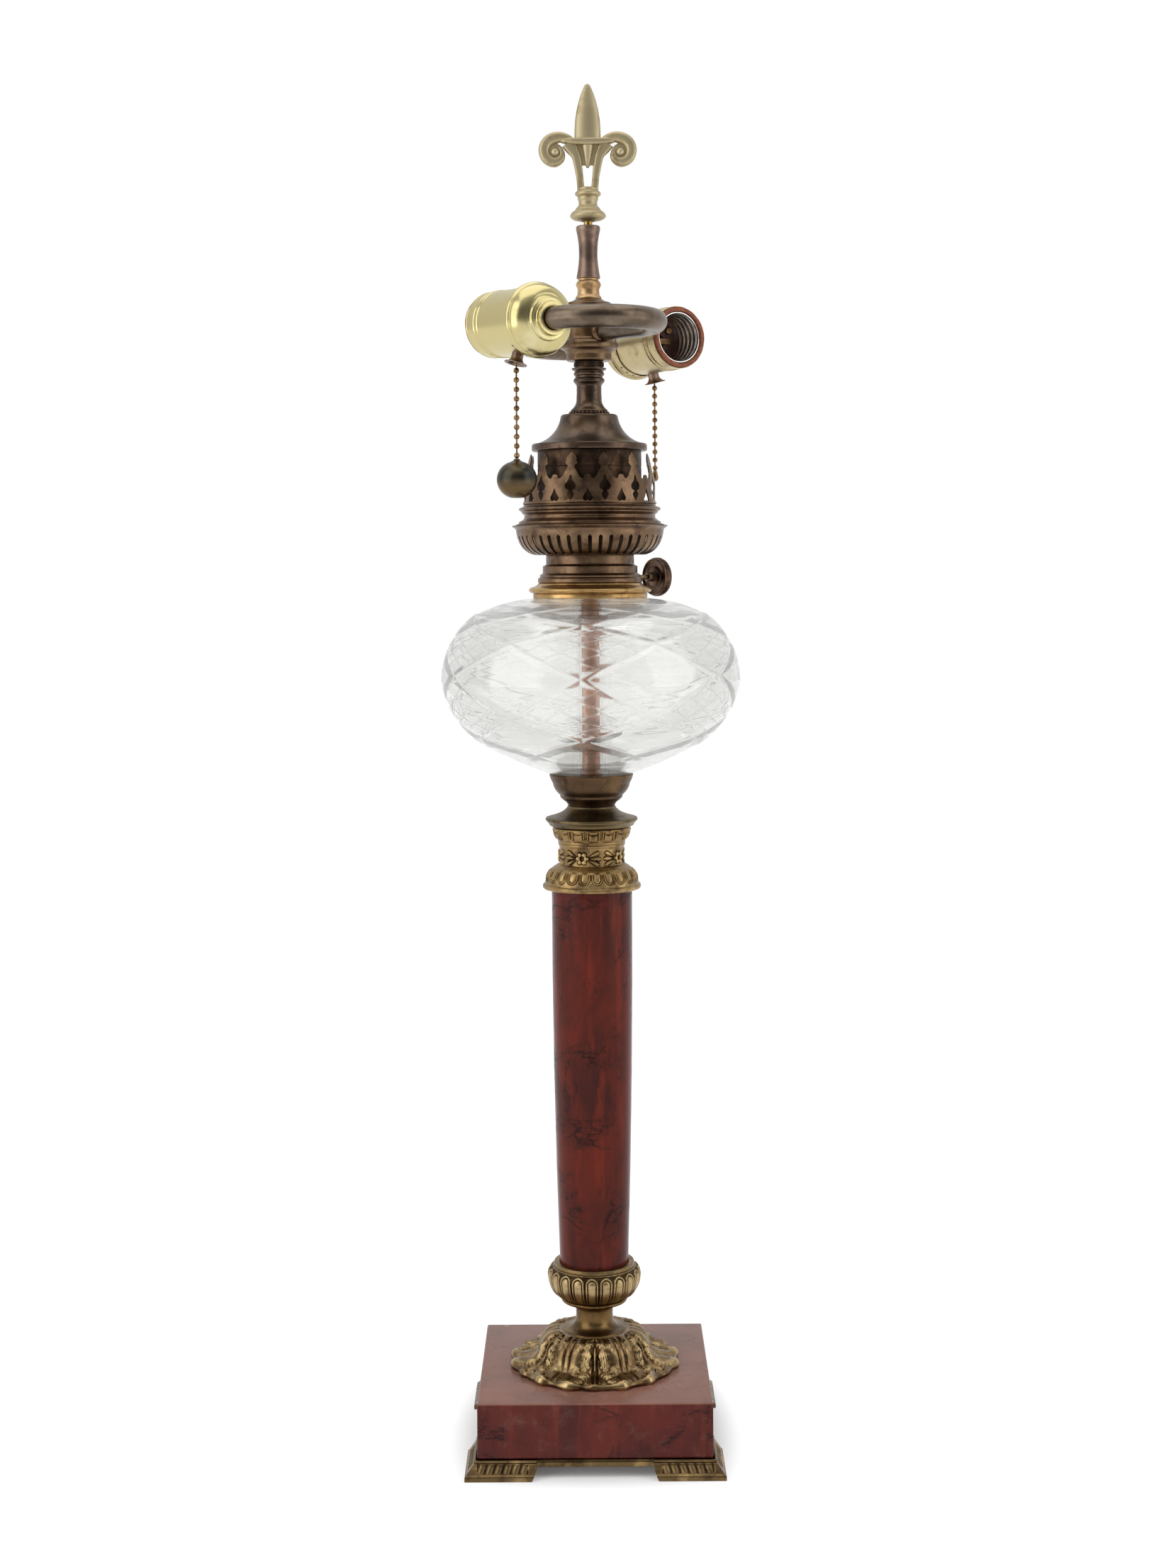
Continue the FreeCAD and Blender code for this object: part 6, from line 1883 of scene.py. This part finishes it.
@dataclass
class Socket(Assembly):
    """One pull-chain socket with its chain."""

    side: Side
    sheet: Finish
    beads: int
    pitch: float
    turn: float = 34.2
    level: float = 584.0
    length: float = 51.3
    across: float = 59.0
    tilt: float = 1.6
    roll: float = 15.0
    lead: float = 4.7
    outlet: float = 26.0
    shell: float = 17.1
    bead: float = 1.45

    def axis_place(self, along: float) -> Matrix:
        """The socket's own frame, moved along its axis from the start of its neck.

        Args:
            along: Distance from there in mm.

        Returns:
            The moved frame.
        """
        spin = spun(self.turn + self.side.value)
        lay = spun(90 - self.tilt, "X")
        run = along - self.lead
        drop = math.radians(self.tilt)
        start = Vector((self.across, self.length - run * math.cos(drop), run * math.sin(drop)))
        return moved_by(0, 0, self.level) @ spin @ Matrix.Translation(start) @ lay

    def outlet_place(self, drop: float) -> tuple[Vector, Matrix]:
        """A place on the outlet's axis below the shell, and the outlet's turn.

        Args:
            drop: Distance below the shell in mm.

        Returns:
            The place and the turn.
        """
        spin = spun(self.turn + self.side.value)
        tilt, roll = math.radians(self.tilt), math.radians(self.roll)
        run, reach = self.outlet - self.lead, self.shell + drop
        down = reach * math.cos(roll)
        place = Vector(
            (
                self.across + reach * math.sin(roll),
                self.length - run * math.cos(tilt) - down * math.sin(tilt),
                run * math.sin(tilt) - down * math.cos(tilt),
            )
        )
        lean = spin @ Matrix.Rotation(-tilt, 4, "X") @ Matrix.Rotation(-roll, 4, "Y")
        return spin @ place + Vector((0, 0, self.level)), lean

    def build(self) -> None:
        """Builds the socket from its cap to its chain."""
        word = self.side.word
        put = self.axis_place(0)
        cap = [
            (5.95, 0.1), (8.3, 0.1), (8.5, 0.5), (8.5, 2.6), (8.9, 3.1), (10.7, 3.5), (11.1, 4.0),
            (11.1, 4.8), (12.2, 5.4, 0.15), (18.3, 12.2), (18.1, 12.9), (18.5, 13.3), (19.15, 14.1),
            (19.2, 15.6), (18.7, 16.4), (17.95, 16.8), (17.8, 20.7), (17.6, 21.0), (17.3, 21.0),
            (17.3, 13.4, -0.15), (10.1, 5.8), (6.4, 5.6), (6.4, 1.4), (5.95, 1.2),
        ]
        dome = ring_of(cap, 128, None, 0.3, 1.0).moved(put)
        self.piece(word + "_socket_dome", dome, self.sheet, [word + "_socket_cap"])
        # Thin dark patches on the cap stand for its slots: painted shade of the openings
        slot = box_seed((0.05, 1.0, 1.9), (17.84, 0, 18.8), 1.0).moved(spun(-132))
        slots = REPEATER.copies(slot, 7, PHENOLIC, 14.0).moved(put)
        self.piece(word + "_dome_slot_shade", slots, PHENOLIC)
        self.shell_pieces(put, word)
        self.inside(put, word)
        self.chain(word)

    def shell_pieces(self, put: Matrix, word: str) -> None:
        """Builds the sheet shell and its fibre liner.

        Args:
            put: The socket's own frame.
            word: What its nodes start with.
        """
        shell = [
            (16.65, 15.6), (17.1, 15.6), (17.1, 45.4), (17.45, 46.0), (17.5, 46.9), (17.1, 47.5),
            (17.05, 48.6), (17.4, 49.2), (17.4, 50.0), (17.0, 50.6), (16.95, 55.8), (17.15, 56.2),
            (17.1, 56.6), (16.65, 56.6),
        ]
        made = ring_of(shell, 128, None, 0.25, 2.0).moved(put)
        self.piece(word + "_sheet_shell", made, self.sheet, [word + "_socket_shell"])
        liner = [(14.3, 15.6), (16.5, 15.6), (16.5, 58.1), (16.3, 58.4), (14.5, 58.4), (14.3, 58.1)]

        def fray(angle: np.ndarray, radius: np.ndarray, height: np.ndarray) -> np.ndarray:
            """Slight waves of the fibre's edge."""
            ragged = 0.12 * np.sin(angle * 5) + 0.08 * np.sin(angle * 13 + 1)
            return np.where(height > 57.5, ragged, 0.0) * 0.5

        sleeve = ring_of(liner, 96, fray, 0.2).moved(put)
        self.piece(word + "_fibre_sleeve", sleeve, FIBRE, [word + "_fibre_liner"])

    def inside(self, put: Matrix, word: str) -> None:
        """Builds the screw shell, the core and the contact.

        Args:
            put: The socket's own frame.
            word: What its nodes start with.
        """
        low, high, inner = 37.1, 57.1, 13.3

        def thread(angle: np.ndarray, radius: np.ndarray, height: np.ndarray) -> np.ndarray:
            """A rolled thread of the usual coarse pitch.

            Args:
                angle: Angles round the axis.
                radius: Radii in mm.
                height: Heights over the socket's foot in mm.

            Returns:
                The relief in mm.
            """
            wave = 0.5 + 0.5 * np.cos(2 * math.pi * (height / 3.63) - angle)
            inside = window(height, low + 1.2, low + 2.5, high - 1.6, high - 0.6)
            return np.where(radius < inner + 0.25, 0.62, -0.62) * wave * inside

        profile = [(inner, low), (inner + 0.5, low), (inner + 0.5, high), (inner, high)]
        shell = ring_of(profile, 96, thread, 0.0, 0.45)
        self.piece(word + "_threaded_shell", shell.moved(put), THREAD, [word + "_screw_shell"], crease=60)
        self.dress(word + "_socket_core", PHENOLIC)
        self.dress(word + "_centre_contact", THREAD)
        tongue = box_seed((1.2, 3.4, 9.0), (37.2, 0, 0), 0.9).moved(spun(-90, "Y"))
        tongue = tongue.moved(moved_by(4.6, 0, 0))
        screw = solid_of([(0, 37.1), (2.1, 37.1), (2.1, 38.3), (1.6, 38.8), (0, 38.8)], 32, 0.3)
        parts = [tongue]
        for angle in (40, 175, 290):
            lift = moved_by(9.6 * math.cos(math.radians(angle)), 9.6 * math.sin(math.radians(angle)), 0)
            parts.append(screw.moved(lift))
        self.piece(word + "_socket_screws", joined(parts).moved(put), BEADS)

    def chain(self, word: str) -> None:
        """Builds the outlet bell, the link and the bead chain.

        Args:
            word: What its nodes start with.
        """
        place, lean = self.outlet_place(5.4)
        flare = [
            (5.3, 0.0), (5.85, 0.05), (5.85, 0.4, -0.17), (3.0, 3.2), (3.0, 7.6), (1.75, 7.6),
            (1.75, 2.9, 0.15),
        ]
        bell = ring_of(flare, 72, None, 0.1)
        lay = Matrix.Translation(place) @ lean
        self.piece(word + "_outlet_bell", bell.moved(lay), SPOOL, [word + "_chain_bell"])
        place, lean = self.outlet_place(3.9)
        seed = solid_of([(0, -self.bead, 0.5), (0, self.bead)], 20, 0.0)
        wire = self.bead * 0.3
        stalk = solid_of([(0, 0.4), (wire, 0.4), (wire, 19.0), (0, 19.0)], 12, 0.05)
        pull = Body.NEAR_PULL if self.side is Side.NEAR else Body.FAR_PULL
        hang = Body.NEAR_CHAIN if self.side is Side.NEAR else Body.FAR_CHAIN
        link = joined([seed, stalk]).moved(Matrix.Translation(place) @ lean)
        self.piece(word + "_link_bead", link, BEADS, [word + "_pull_link"], pull)
        step = (0.0, 0.0, -self.pitch)
        row = REPEATER.copies(seed.moved(moved_by(0, 0, -self.pitch)), self.beads, BEADS, step=step)
        foot = -(self.pitch * self.beads + self.bead + 2.9)
        line = solid_of([(0, foot), (wire, foot), (wire, -1.85), (0, -1.85)], 12, 0.05)
        hung = joined([row, line]).moved(Matrix.Translation(place))
        self.piece(word + "_beads", hung, BEADS, [word + "_bead_chain"], hang)
        end = place.z - self.pitch * self.beads - self.bead
        if self.side is Side.NEAR:
            tall = 20.1
            ball = [
                (0, 0.0), (3.0, 0.15, 0.17), (10.2, 9.2, 0.17), (3.6, 18.2), (2.0, 18.9), (1.1, 20.0),
                (0, tall),
            ]
            made = solid_of(ball, 72, 0.3).moved(moved_by(place.x, place.y, end - tall))
            # The ball's top is painted darker than its foot: painted shade
            ball_with_painted_shade = replace(BALL, fade=((end - 16.0) * MM, (end - 8.5) * MM))
            self.piece("near_chain_ball", made, ball_with_painted_shade, ["near_pull_ball"], hang)
        else:
            drop = [(0, 0), (0.9, 0.1, 0.1), (1.85, 1.9), (1.2, 5.6), (1.0, 6.0), (0, 6.0)]
            made = solid_of(drop, 32, 0.2).moved(moved_by(place.x, place.y, end - 6.0))
            self.piece("far_end_drop", made, BEADS, ["far_chain_end"], hang)


@dataclass
class Finial(Assembly):
    """Turned knob and the fleur over it."""

    low: float = 643.9
    fleur_low: float = 660.5
    boss_x: float = 17.45
    boss_z: float = 680.8

    def build(self) -> None:
        """Builds the knob and the fleur."""
        low = self.low
        knob = lifted(low, [
            (STUD_BORE, 0.0), (3.8, 0.0), (4.2, 0.4), (6.2, 0.7, 0.1), (9.3, 2.2, 0.16), (9.4, 3.4, 0.1),
            (7.4, 5.6), (6.6, 6.4, 0.1), (5.7, 7.6), (5.0, 8.6), (4.9, 10.6), (5.4, 11.6), (5.5, 12.8),
            (5.3, 13.2), (6.5, 13.8, 0.2), (6.5, 15.6), (5.9, 16.2), (5.6, 16.6), (2.0, 16.6), (2.0, 8.3),
            (STUD_BORE, 8.2),
        ])
        self.piece("finial_turning", ring_of(knob, 96, None, 0.3), PALE, ["finial_knob"], Body.FINIAL)
        parts = [self.blade(), self.crossbar(), *self.trident()]
        for side in (-1, 1):
            parts += self.scroll(side)
        self.piece("fleur", joined(parts), PALE, ["finial_fleur"], Body.FINIAL, crease=45)

    def blade(self) -> Surface:
        """The tall blade with its rounded tip.

        Returns:
            The blade.
        """
        heights = [686.5, 692.4, 698.1, 703.7, 708.2, 711.6, 715.0, 716.6, 717.1, 717.25]
        widths = [7.0, 6.95, 6.6, 5.7, 4.6, 3.5, 2.15, 1.3, 0.8, 0.1]
        fine = 686.5 + 30.75 * np.sin(np.linspace(0, math.pi / 2, 54))
        path = np.stack([np.zeros(54), np.zeros(54), fine], axis=-1)
        blade = swept(path, np.interp(fine, heights, widths), 40, 0.5, (1, 0, 0), 1.0)
        blade.crest[:] = 0.68
        return blade

    def crossbar(self) -> Surface:
        """The lens-shaped bar across the blade's foot.

        Returns:
            The bar.
        """
        along = np.sin(np.linspace(-math.pi / 2, math.pi / 2, 47))
        swell = domed(along)
        deep = 0.5 + 3.6 * swell
        tall = 0.5 + 1.6 * swell
        path = np.stack([along * 15.6, 0 * along, 688.4 - tall], axis=-1)
        return swept(path, deep, 28, tall / deep, (0, 1, 0), 0.5)

    def trident(self) -> list:
        """The two flat legs with the pointed drop between them.

        Returns:
            Its parts.
        """
        parts = []
        heights = np.linspace(self.fleur_low, 685.5, 40)
        levels = [660.5, 667.5, 674.2, 678.2, 680.2, 682.0, 685.5]
        outer = np.interp(heights, levels, [5.5, 6.1, 7.4, 8.3, 9.4, 11.2, 14.0])
        inner = np.interp(heights, [660.5, 667.0, 672.5, 678.0, 682.0, 685.5], [1.7, 2.3, 2.8, 3.8, 5.0, 6.6])
        for side in (-1, 1):
            path = np.stack([side * (outer + inner) / 2, np.zeros(40), heights], axis=-1)
            half = (outer - inner) / 2
            leg = swept(path, half, 28, 2.7 / half, (1, 0, 0), 0.45)
            leg.crest[:] = GROUND
            parts.append(leg)
        heights = np.linspace(672.3, 686.0, 26)
        wide = np.interp(heights, [672.3, 673.0, 676.0, 680.0, 684.0, 686.0], [0.15, 0.9, 1.8, 2.6, 3.3, 3.6])
        drop = swept(np.stack([np.zeros(26), np.zeros(26), heights], axis=-1), wide, 24, 0.95, (1, 0, 0))
        drop.crest[:] = 0.75
        web = box_seed((1.8, 11.0, 12.4), (0, 0, 680.0), 1.0).moved(spun(-90))
        web = web.moved(moved_by(0, 0.9, 0))
        # The web's low crest paints it darker: painted shade between the legs
        web.crest = np.full(len(web.points), 0.4)
        foot = solid_of([(0, 660.4), (5.6, 660.4), (5.7, 661.2), (5.3, 661.9), (0, 662.0)], 48, 0.3)
        return parts + [drop, web, foot]

    def scroll(self, side: int) -> list:
        """One thick volute round its boss.

        Args:
            side: 1 for the right one, -1 for the left one.

        Returns:
            Its parts.
        """
        degrees = np.linspace(150, -285, 110)
        marks = np.array([-285, -270, -225, -180, -135, -90, -45, 0, 45, 90, 130, 150], float)
        reach = np.interp(degrees, marks, [3.0, 3.1, 3.3, 3.7, 4.6, 5.2, 5.4, 5.7, 6.6, 7.6, 9.6, 11.0])
        half = np.interp(degrees, marks, [0.4, 0.6, 0.9, 1.4, 2.0, 2.6, 2.7, 2.85, 3.0, 3.2, 2.5, 1.8])
        deep = np.interp(degrees, marks, [1.1, 1.2, 1.5, 2.0, 2.6, 2.9, 3.0, 3.0, 3.0, 2.9, 2.5, 2.0])
        turns = np.radians(degrees)
        across, rise = reach * np.cos(turns), reach * np.sin(turns)
        path = np.stack([side * (self.boss_x + across), np.zeros(110), self.boss_z + rise], axis=-1)
        band = swept(path, deep, 28, half / deep, (0, 1, 0), 0.7)
        band.crest[:] = GROUND
        boss = solid_of([(0, -3.3, 0.5), (0, 3.3)], 32, 0.0)
        boss.points[:, :2] *= 0.8
        # The boss's high crest paints it in the polish tone: a painted highlight, with wear
        boss.crest[:] = 0.9
        lay = moved_by(side * self.boss_x, 0, self.boss_z) @ spun(90, "X")
        web = solid_of([(0, -1.4), (4.6, -1.4), (4.6, 1.4), (0, 1.4)], 40, 0.3)
        # The web's low crest paints it darker: painted shade
        web.crest[:] = 0.42
        return [band, boss.moved(lay), web.moved(lay)]


@dataclass
class WickRaiser(Assembly):
    """The side knob on its shaft."""

    turn: float = 37.1
    level: float = 454.5
    lead: float = 38.6
    shaft_start: float = 14.6
    shaft_end: float = 48.4

    def build(self) -> None:
        """Builds the knob and the shaft."""
        spin = spun(self.turn) @ spun(90, "Y")
        put = moved_by(0, 0, self.level) @ spin
        start, stop = self.shaft_start, self.shaft_end - 0.1
        shaft = solid_of([(0, start), (1.2, start), (1.2, stop), (0, stop)], 32)
        self.piece("wick_spindle", shaft.moved(put), ANTIQUE, ["wick_shaft"], Body.WICK)
        self.dress("wick_sprocket", ANTIQUE)
        low = self.lead
        knob = lifted(low, [
            (0, 0.0), (2.6, 0.0), (2.6, 4.4), (5.3, 4.8), (5.8, 5.6), (8.6, 5.2), (9.5, 4.4), (10.0, 4.7),
            (10.1, 5.2), (10.1, 9.0), (9.9, 9.5), (8.9, 9.8), (8.4, 9.4), (7.6, 9.2), (4.6, 9.6),
            (2.6, 9.9), (0, 10.15),
        ])
        rib = box_seed((0.5, 0.6, 3.4), (10.05, 0, low + 7.2), 0.55)
        knurl = REPEATER.ring(rib, 64, KNOB)
        made = joined([solid_of(knob, 96, 0.35), knurl]).moved(put)
        self.piece("knurled_wick_knob", made, KNOB, ["wick_knob"], Body.WICK)


@dataclass
class Studio:
    """Pale floor, soft lights and the camera."""

    focal: float = 51.27
    distance: float = 1.1887
    rise: float = 0.460
    shift: float = -0.1383
    roll: float = -0.339
    lights: list = field(
        default_factory=lambda: [
            ("key_left", (-1.45, -0.85, 0.95), (1.5, 2.0), 18.0),
            ("fill_right", (1.55, -0.65, 0.75), (1.2, 2.0), 12.0),
            ("overhead", (0.0, -0.1, 1.85), (1.6, 1.6), 9.0),
        ]
    )

    def floor(self) -> None:
        """Lays the pale floor; in a square round the base its glow gives way to the plain paper, where the
        lamps' shadow shows along with a painted grey halo of shade.
        """
        mesh = bpy.data.meshes.new("pale_floor")
        size = 6.0
        corners = [(-size, -size, 0), (size, -size, 0), (size, size, 0), (-size, size, 0)]
        mesh.from_pydata(corners, [], [(0, 1, 2, 3)])
        made = bpy.data.objects.new("pale_floor", mesh)
        bpy.context.scene.collection.objects.link(made)
        recipe = Recipe(bpy.data.materials.new("floor_paper"))
        paper = recipe.node("ShaderNodeBsdfDiffuse", inputs={"Color": (0.92, 0.92, 0.92, 1.0)})
        glow = recipe.node("ShaderNodeEmission", inputs={"Color": WHITE, "Strength": 1.12})
        seen = recipe.ray("Camera").upper(recipe.ray("Glossy")).upper(recipe.ray("Transmission"))
        where = recipe.wire("ShaderNodeTexCoord", output="Object")
        away = recipe.wire("ShaderNodeVectorMath", {"operation": "LENGTH"}, {0: where}, "Value")
        # Painted shade: the floor's glow is held back near the base
        shadow_reach = abs(recipe.part(where, "X")).upper(abs(recipe.part(where, "Y"))) * 0.7 + away * 0.26
        near, far = shadow_reach.step(0.054, 0.08), away.step(0.2, 0.9)
        share = seen * (0.08 + near * 0.84 + far * 0.06)
        both = recipe.node("ShaderNodeMixShader", inputs={0: share, 1: paper.outputs[0], 2: glow.outputs[0]})
        recipe.node("ShaderNodeOutputMaterial", inputs={"Surface": both.outputs[0]})
        mesh.materials.append(recipe.owner)

    def world(self) -> None:
        """Lights the room evenly and shows it pale."""
        world = bpy.data.worlds.new("pale_room")
        bpy.context.scene.world = world
        recipe = Recipe(world)
        where = recipe.wire("ShaderNodeTexCoord", output="Generated")
        behind = recipe.part(where, "Y").step(-0.25, 0.45)
        above = recipe.part(where, "Z").step(0.2, 0.9)
        shown = (0.14 + behind * 0.72).upper(above * 0.6)
        through = 0.78 + behind * 0.2
        camera, glossy, clear = recipe.ray("Camera"), recipe.ray("Glossy"), recipe.ray("Transmission")
        other = (1 - glossy.upper(clear)) * 0.42
        bounced = clear * through + (1 - clear) * glossy * shown + other
        strength = camera + (1 - camera) * bounced
        glow = recipe.node("ShaderNodeBackground", inputs={"Color": WHITE, "Strength": strength})
        recipe.node("ShaderNodeOutputWorld", inputs={"Surface": glow.outputs[0]})

    def lamps(self) -> None:
        """Hangs the soft lights."""
        for name, place, size, power in self.lights:
            data = bpy.data.lights.new(name, "AREA")
            data.shape = "RECTANGLE"
            data.size, data.size_y = size
            data.energy = power
            made = bpy.data.objects.new(name, data)
            made.location = place
            aim = Vector((0, 0, 0.36)) - Vector(place)
            made.rotation_euler = aim.to_track_quat("-Z", "Y").to_euler()
            bpy.context.scene.collection.objects.link(made)

    def camera(self) -> None:
        """Sets the camera where the photographer stood."""
        data = bpy.data.cameras.new("camera")
        data.lens = self.focal
        data.sensor_width = 36.0
        data.shift_y = self.shift
        made = bpy.data.objects.new("camera", data)
        turn = spun(90, "X") @ spun(self.roll)
        made.matrix_world = moved_by(-0.0011, -self.distance, self.rise) @ turn
        bpy.context.scene.collection.objects.link(made)
        bpy.context.scene.camera = made

    def build(self) -> None:
        """Sets up the studio."""
        self.floor()
        self.world()
        self.lamps()
        self.camera()
        bpy.context.scene.view_settings.view_transform = "Standard"


def main() -> None:
    """Builds the lamp from the floor up, then the studio."""
    assemblies = [
        FootFrame(),
        MarbleBlock(),
        LeafSocle(),
        GadroonCup(),
        Column(),
        Font(),
        Burner(),
        Cluster(),
        Socket(Side.NEAR, SOCKET, 10, 4.77),
        Socket(Side.FAR, SOCKET_GREY, 11, 4.46),
        Finial(),
        WickRaiser(),
        Studio(),
    ]
    for assembly in assemblies:
        LOG.info("building %s", type(assembly).__name__)
        assembly.build()


if __name__ == "__main__":
    main()
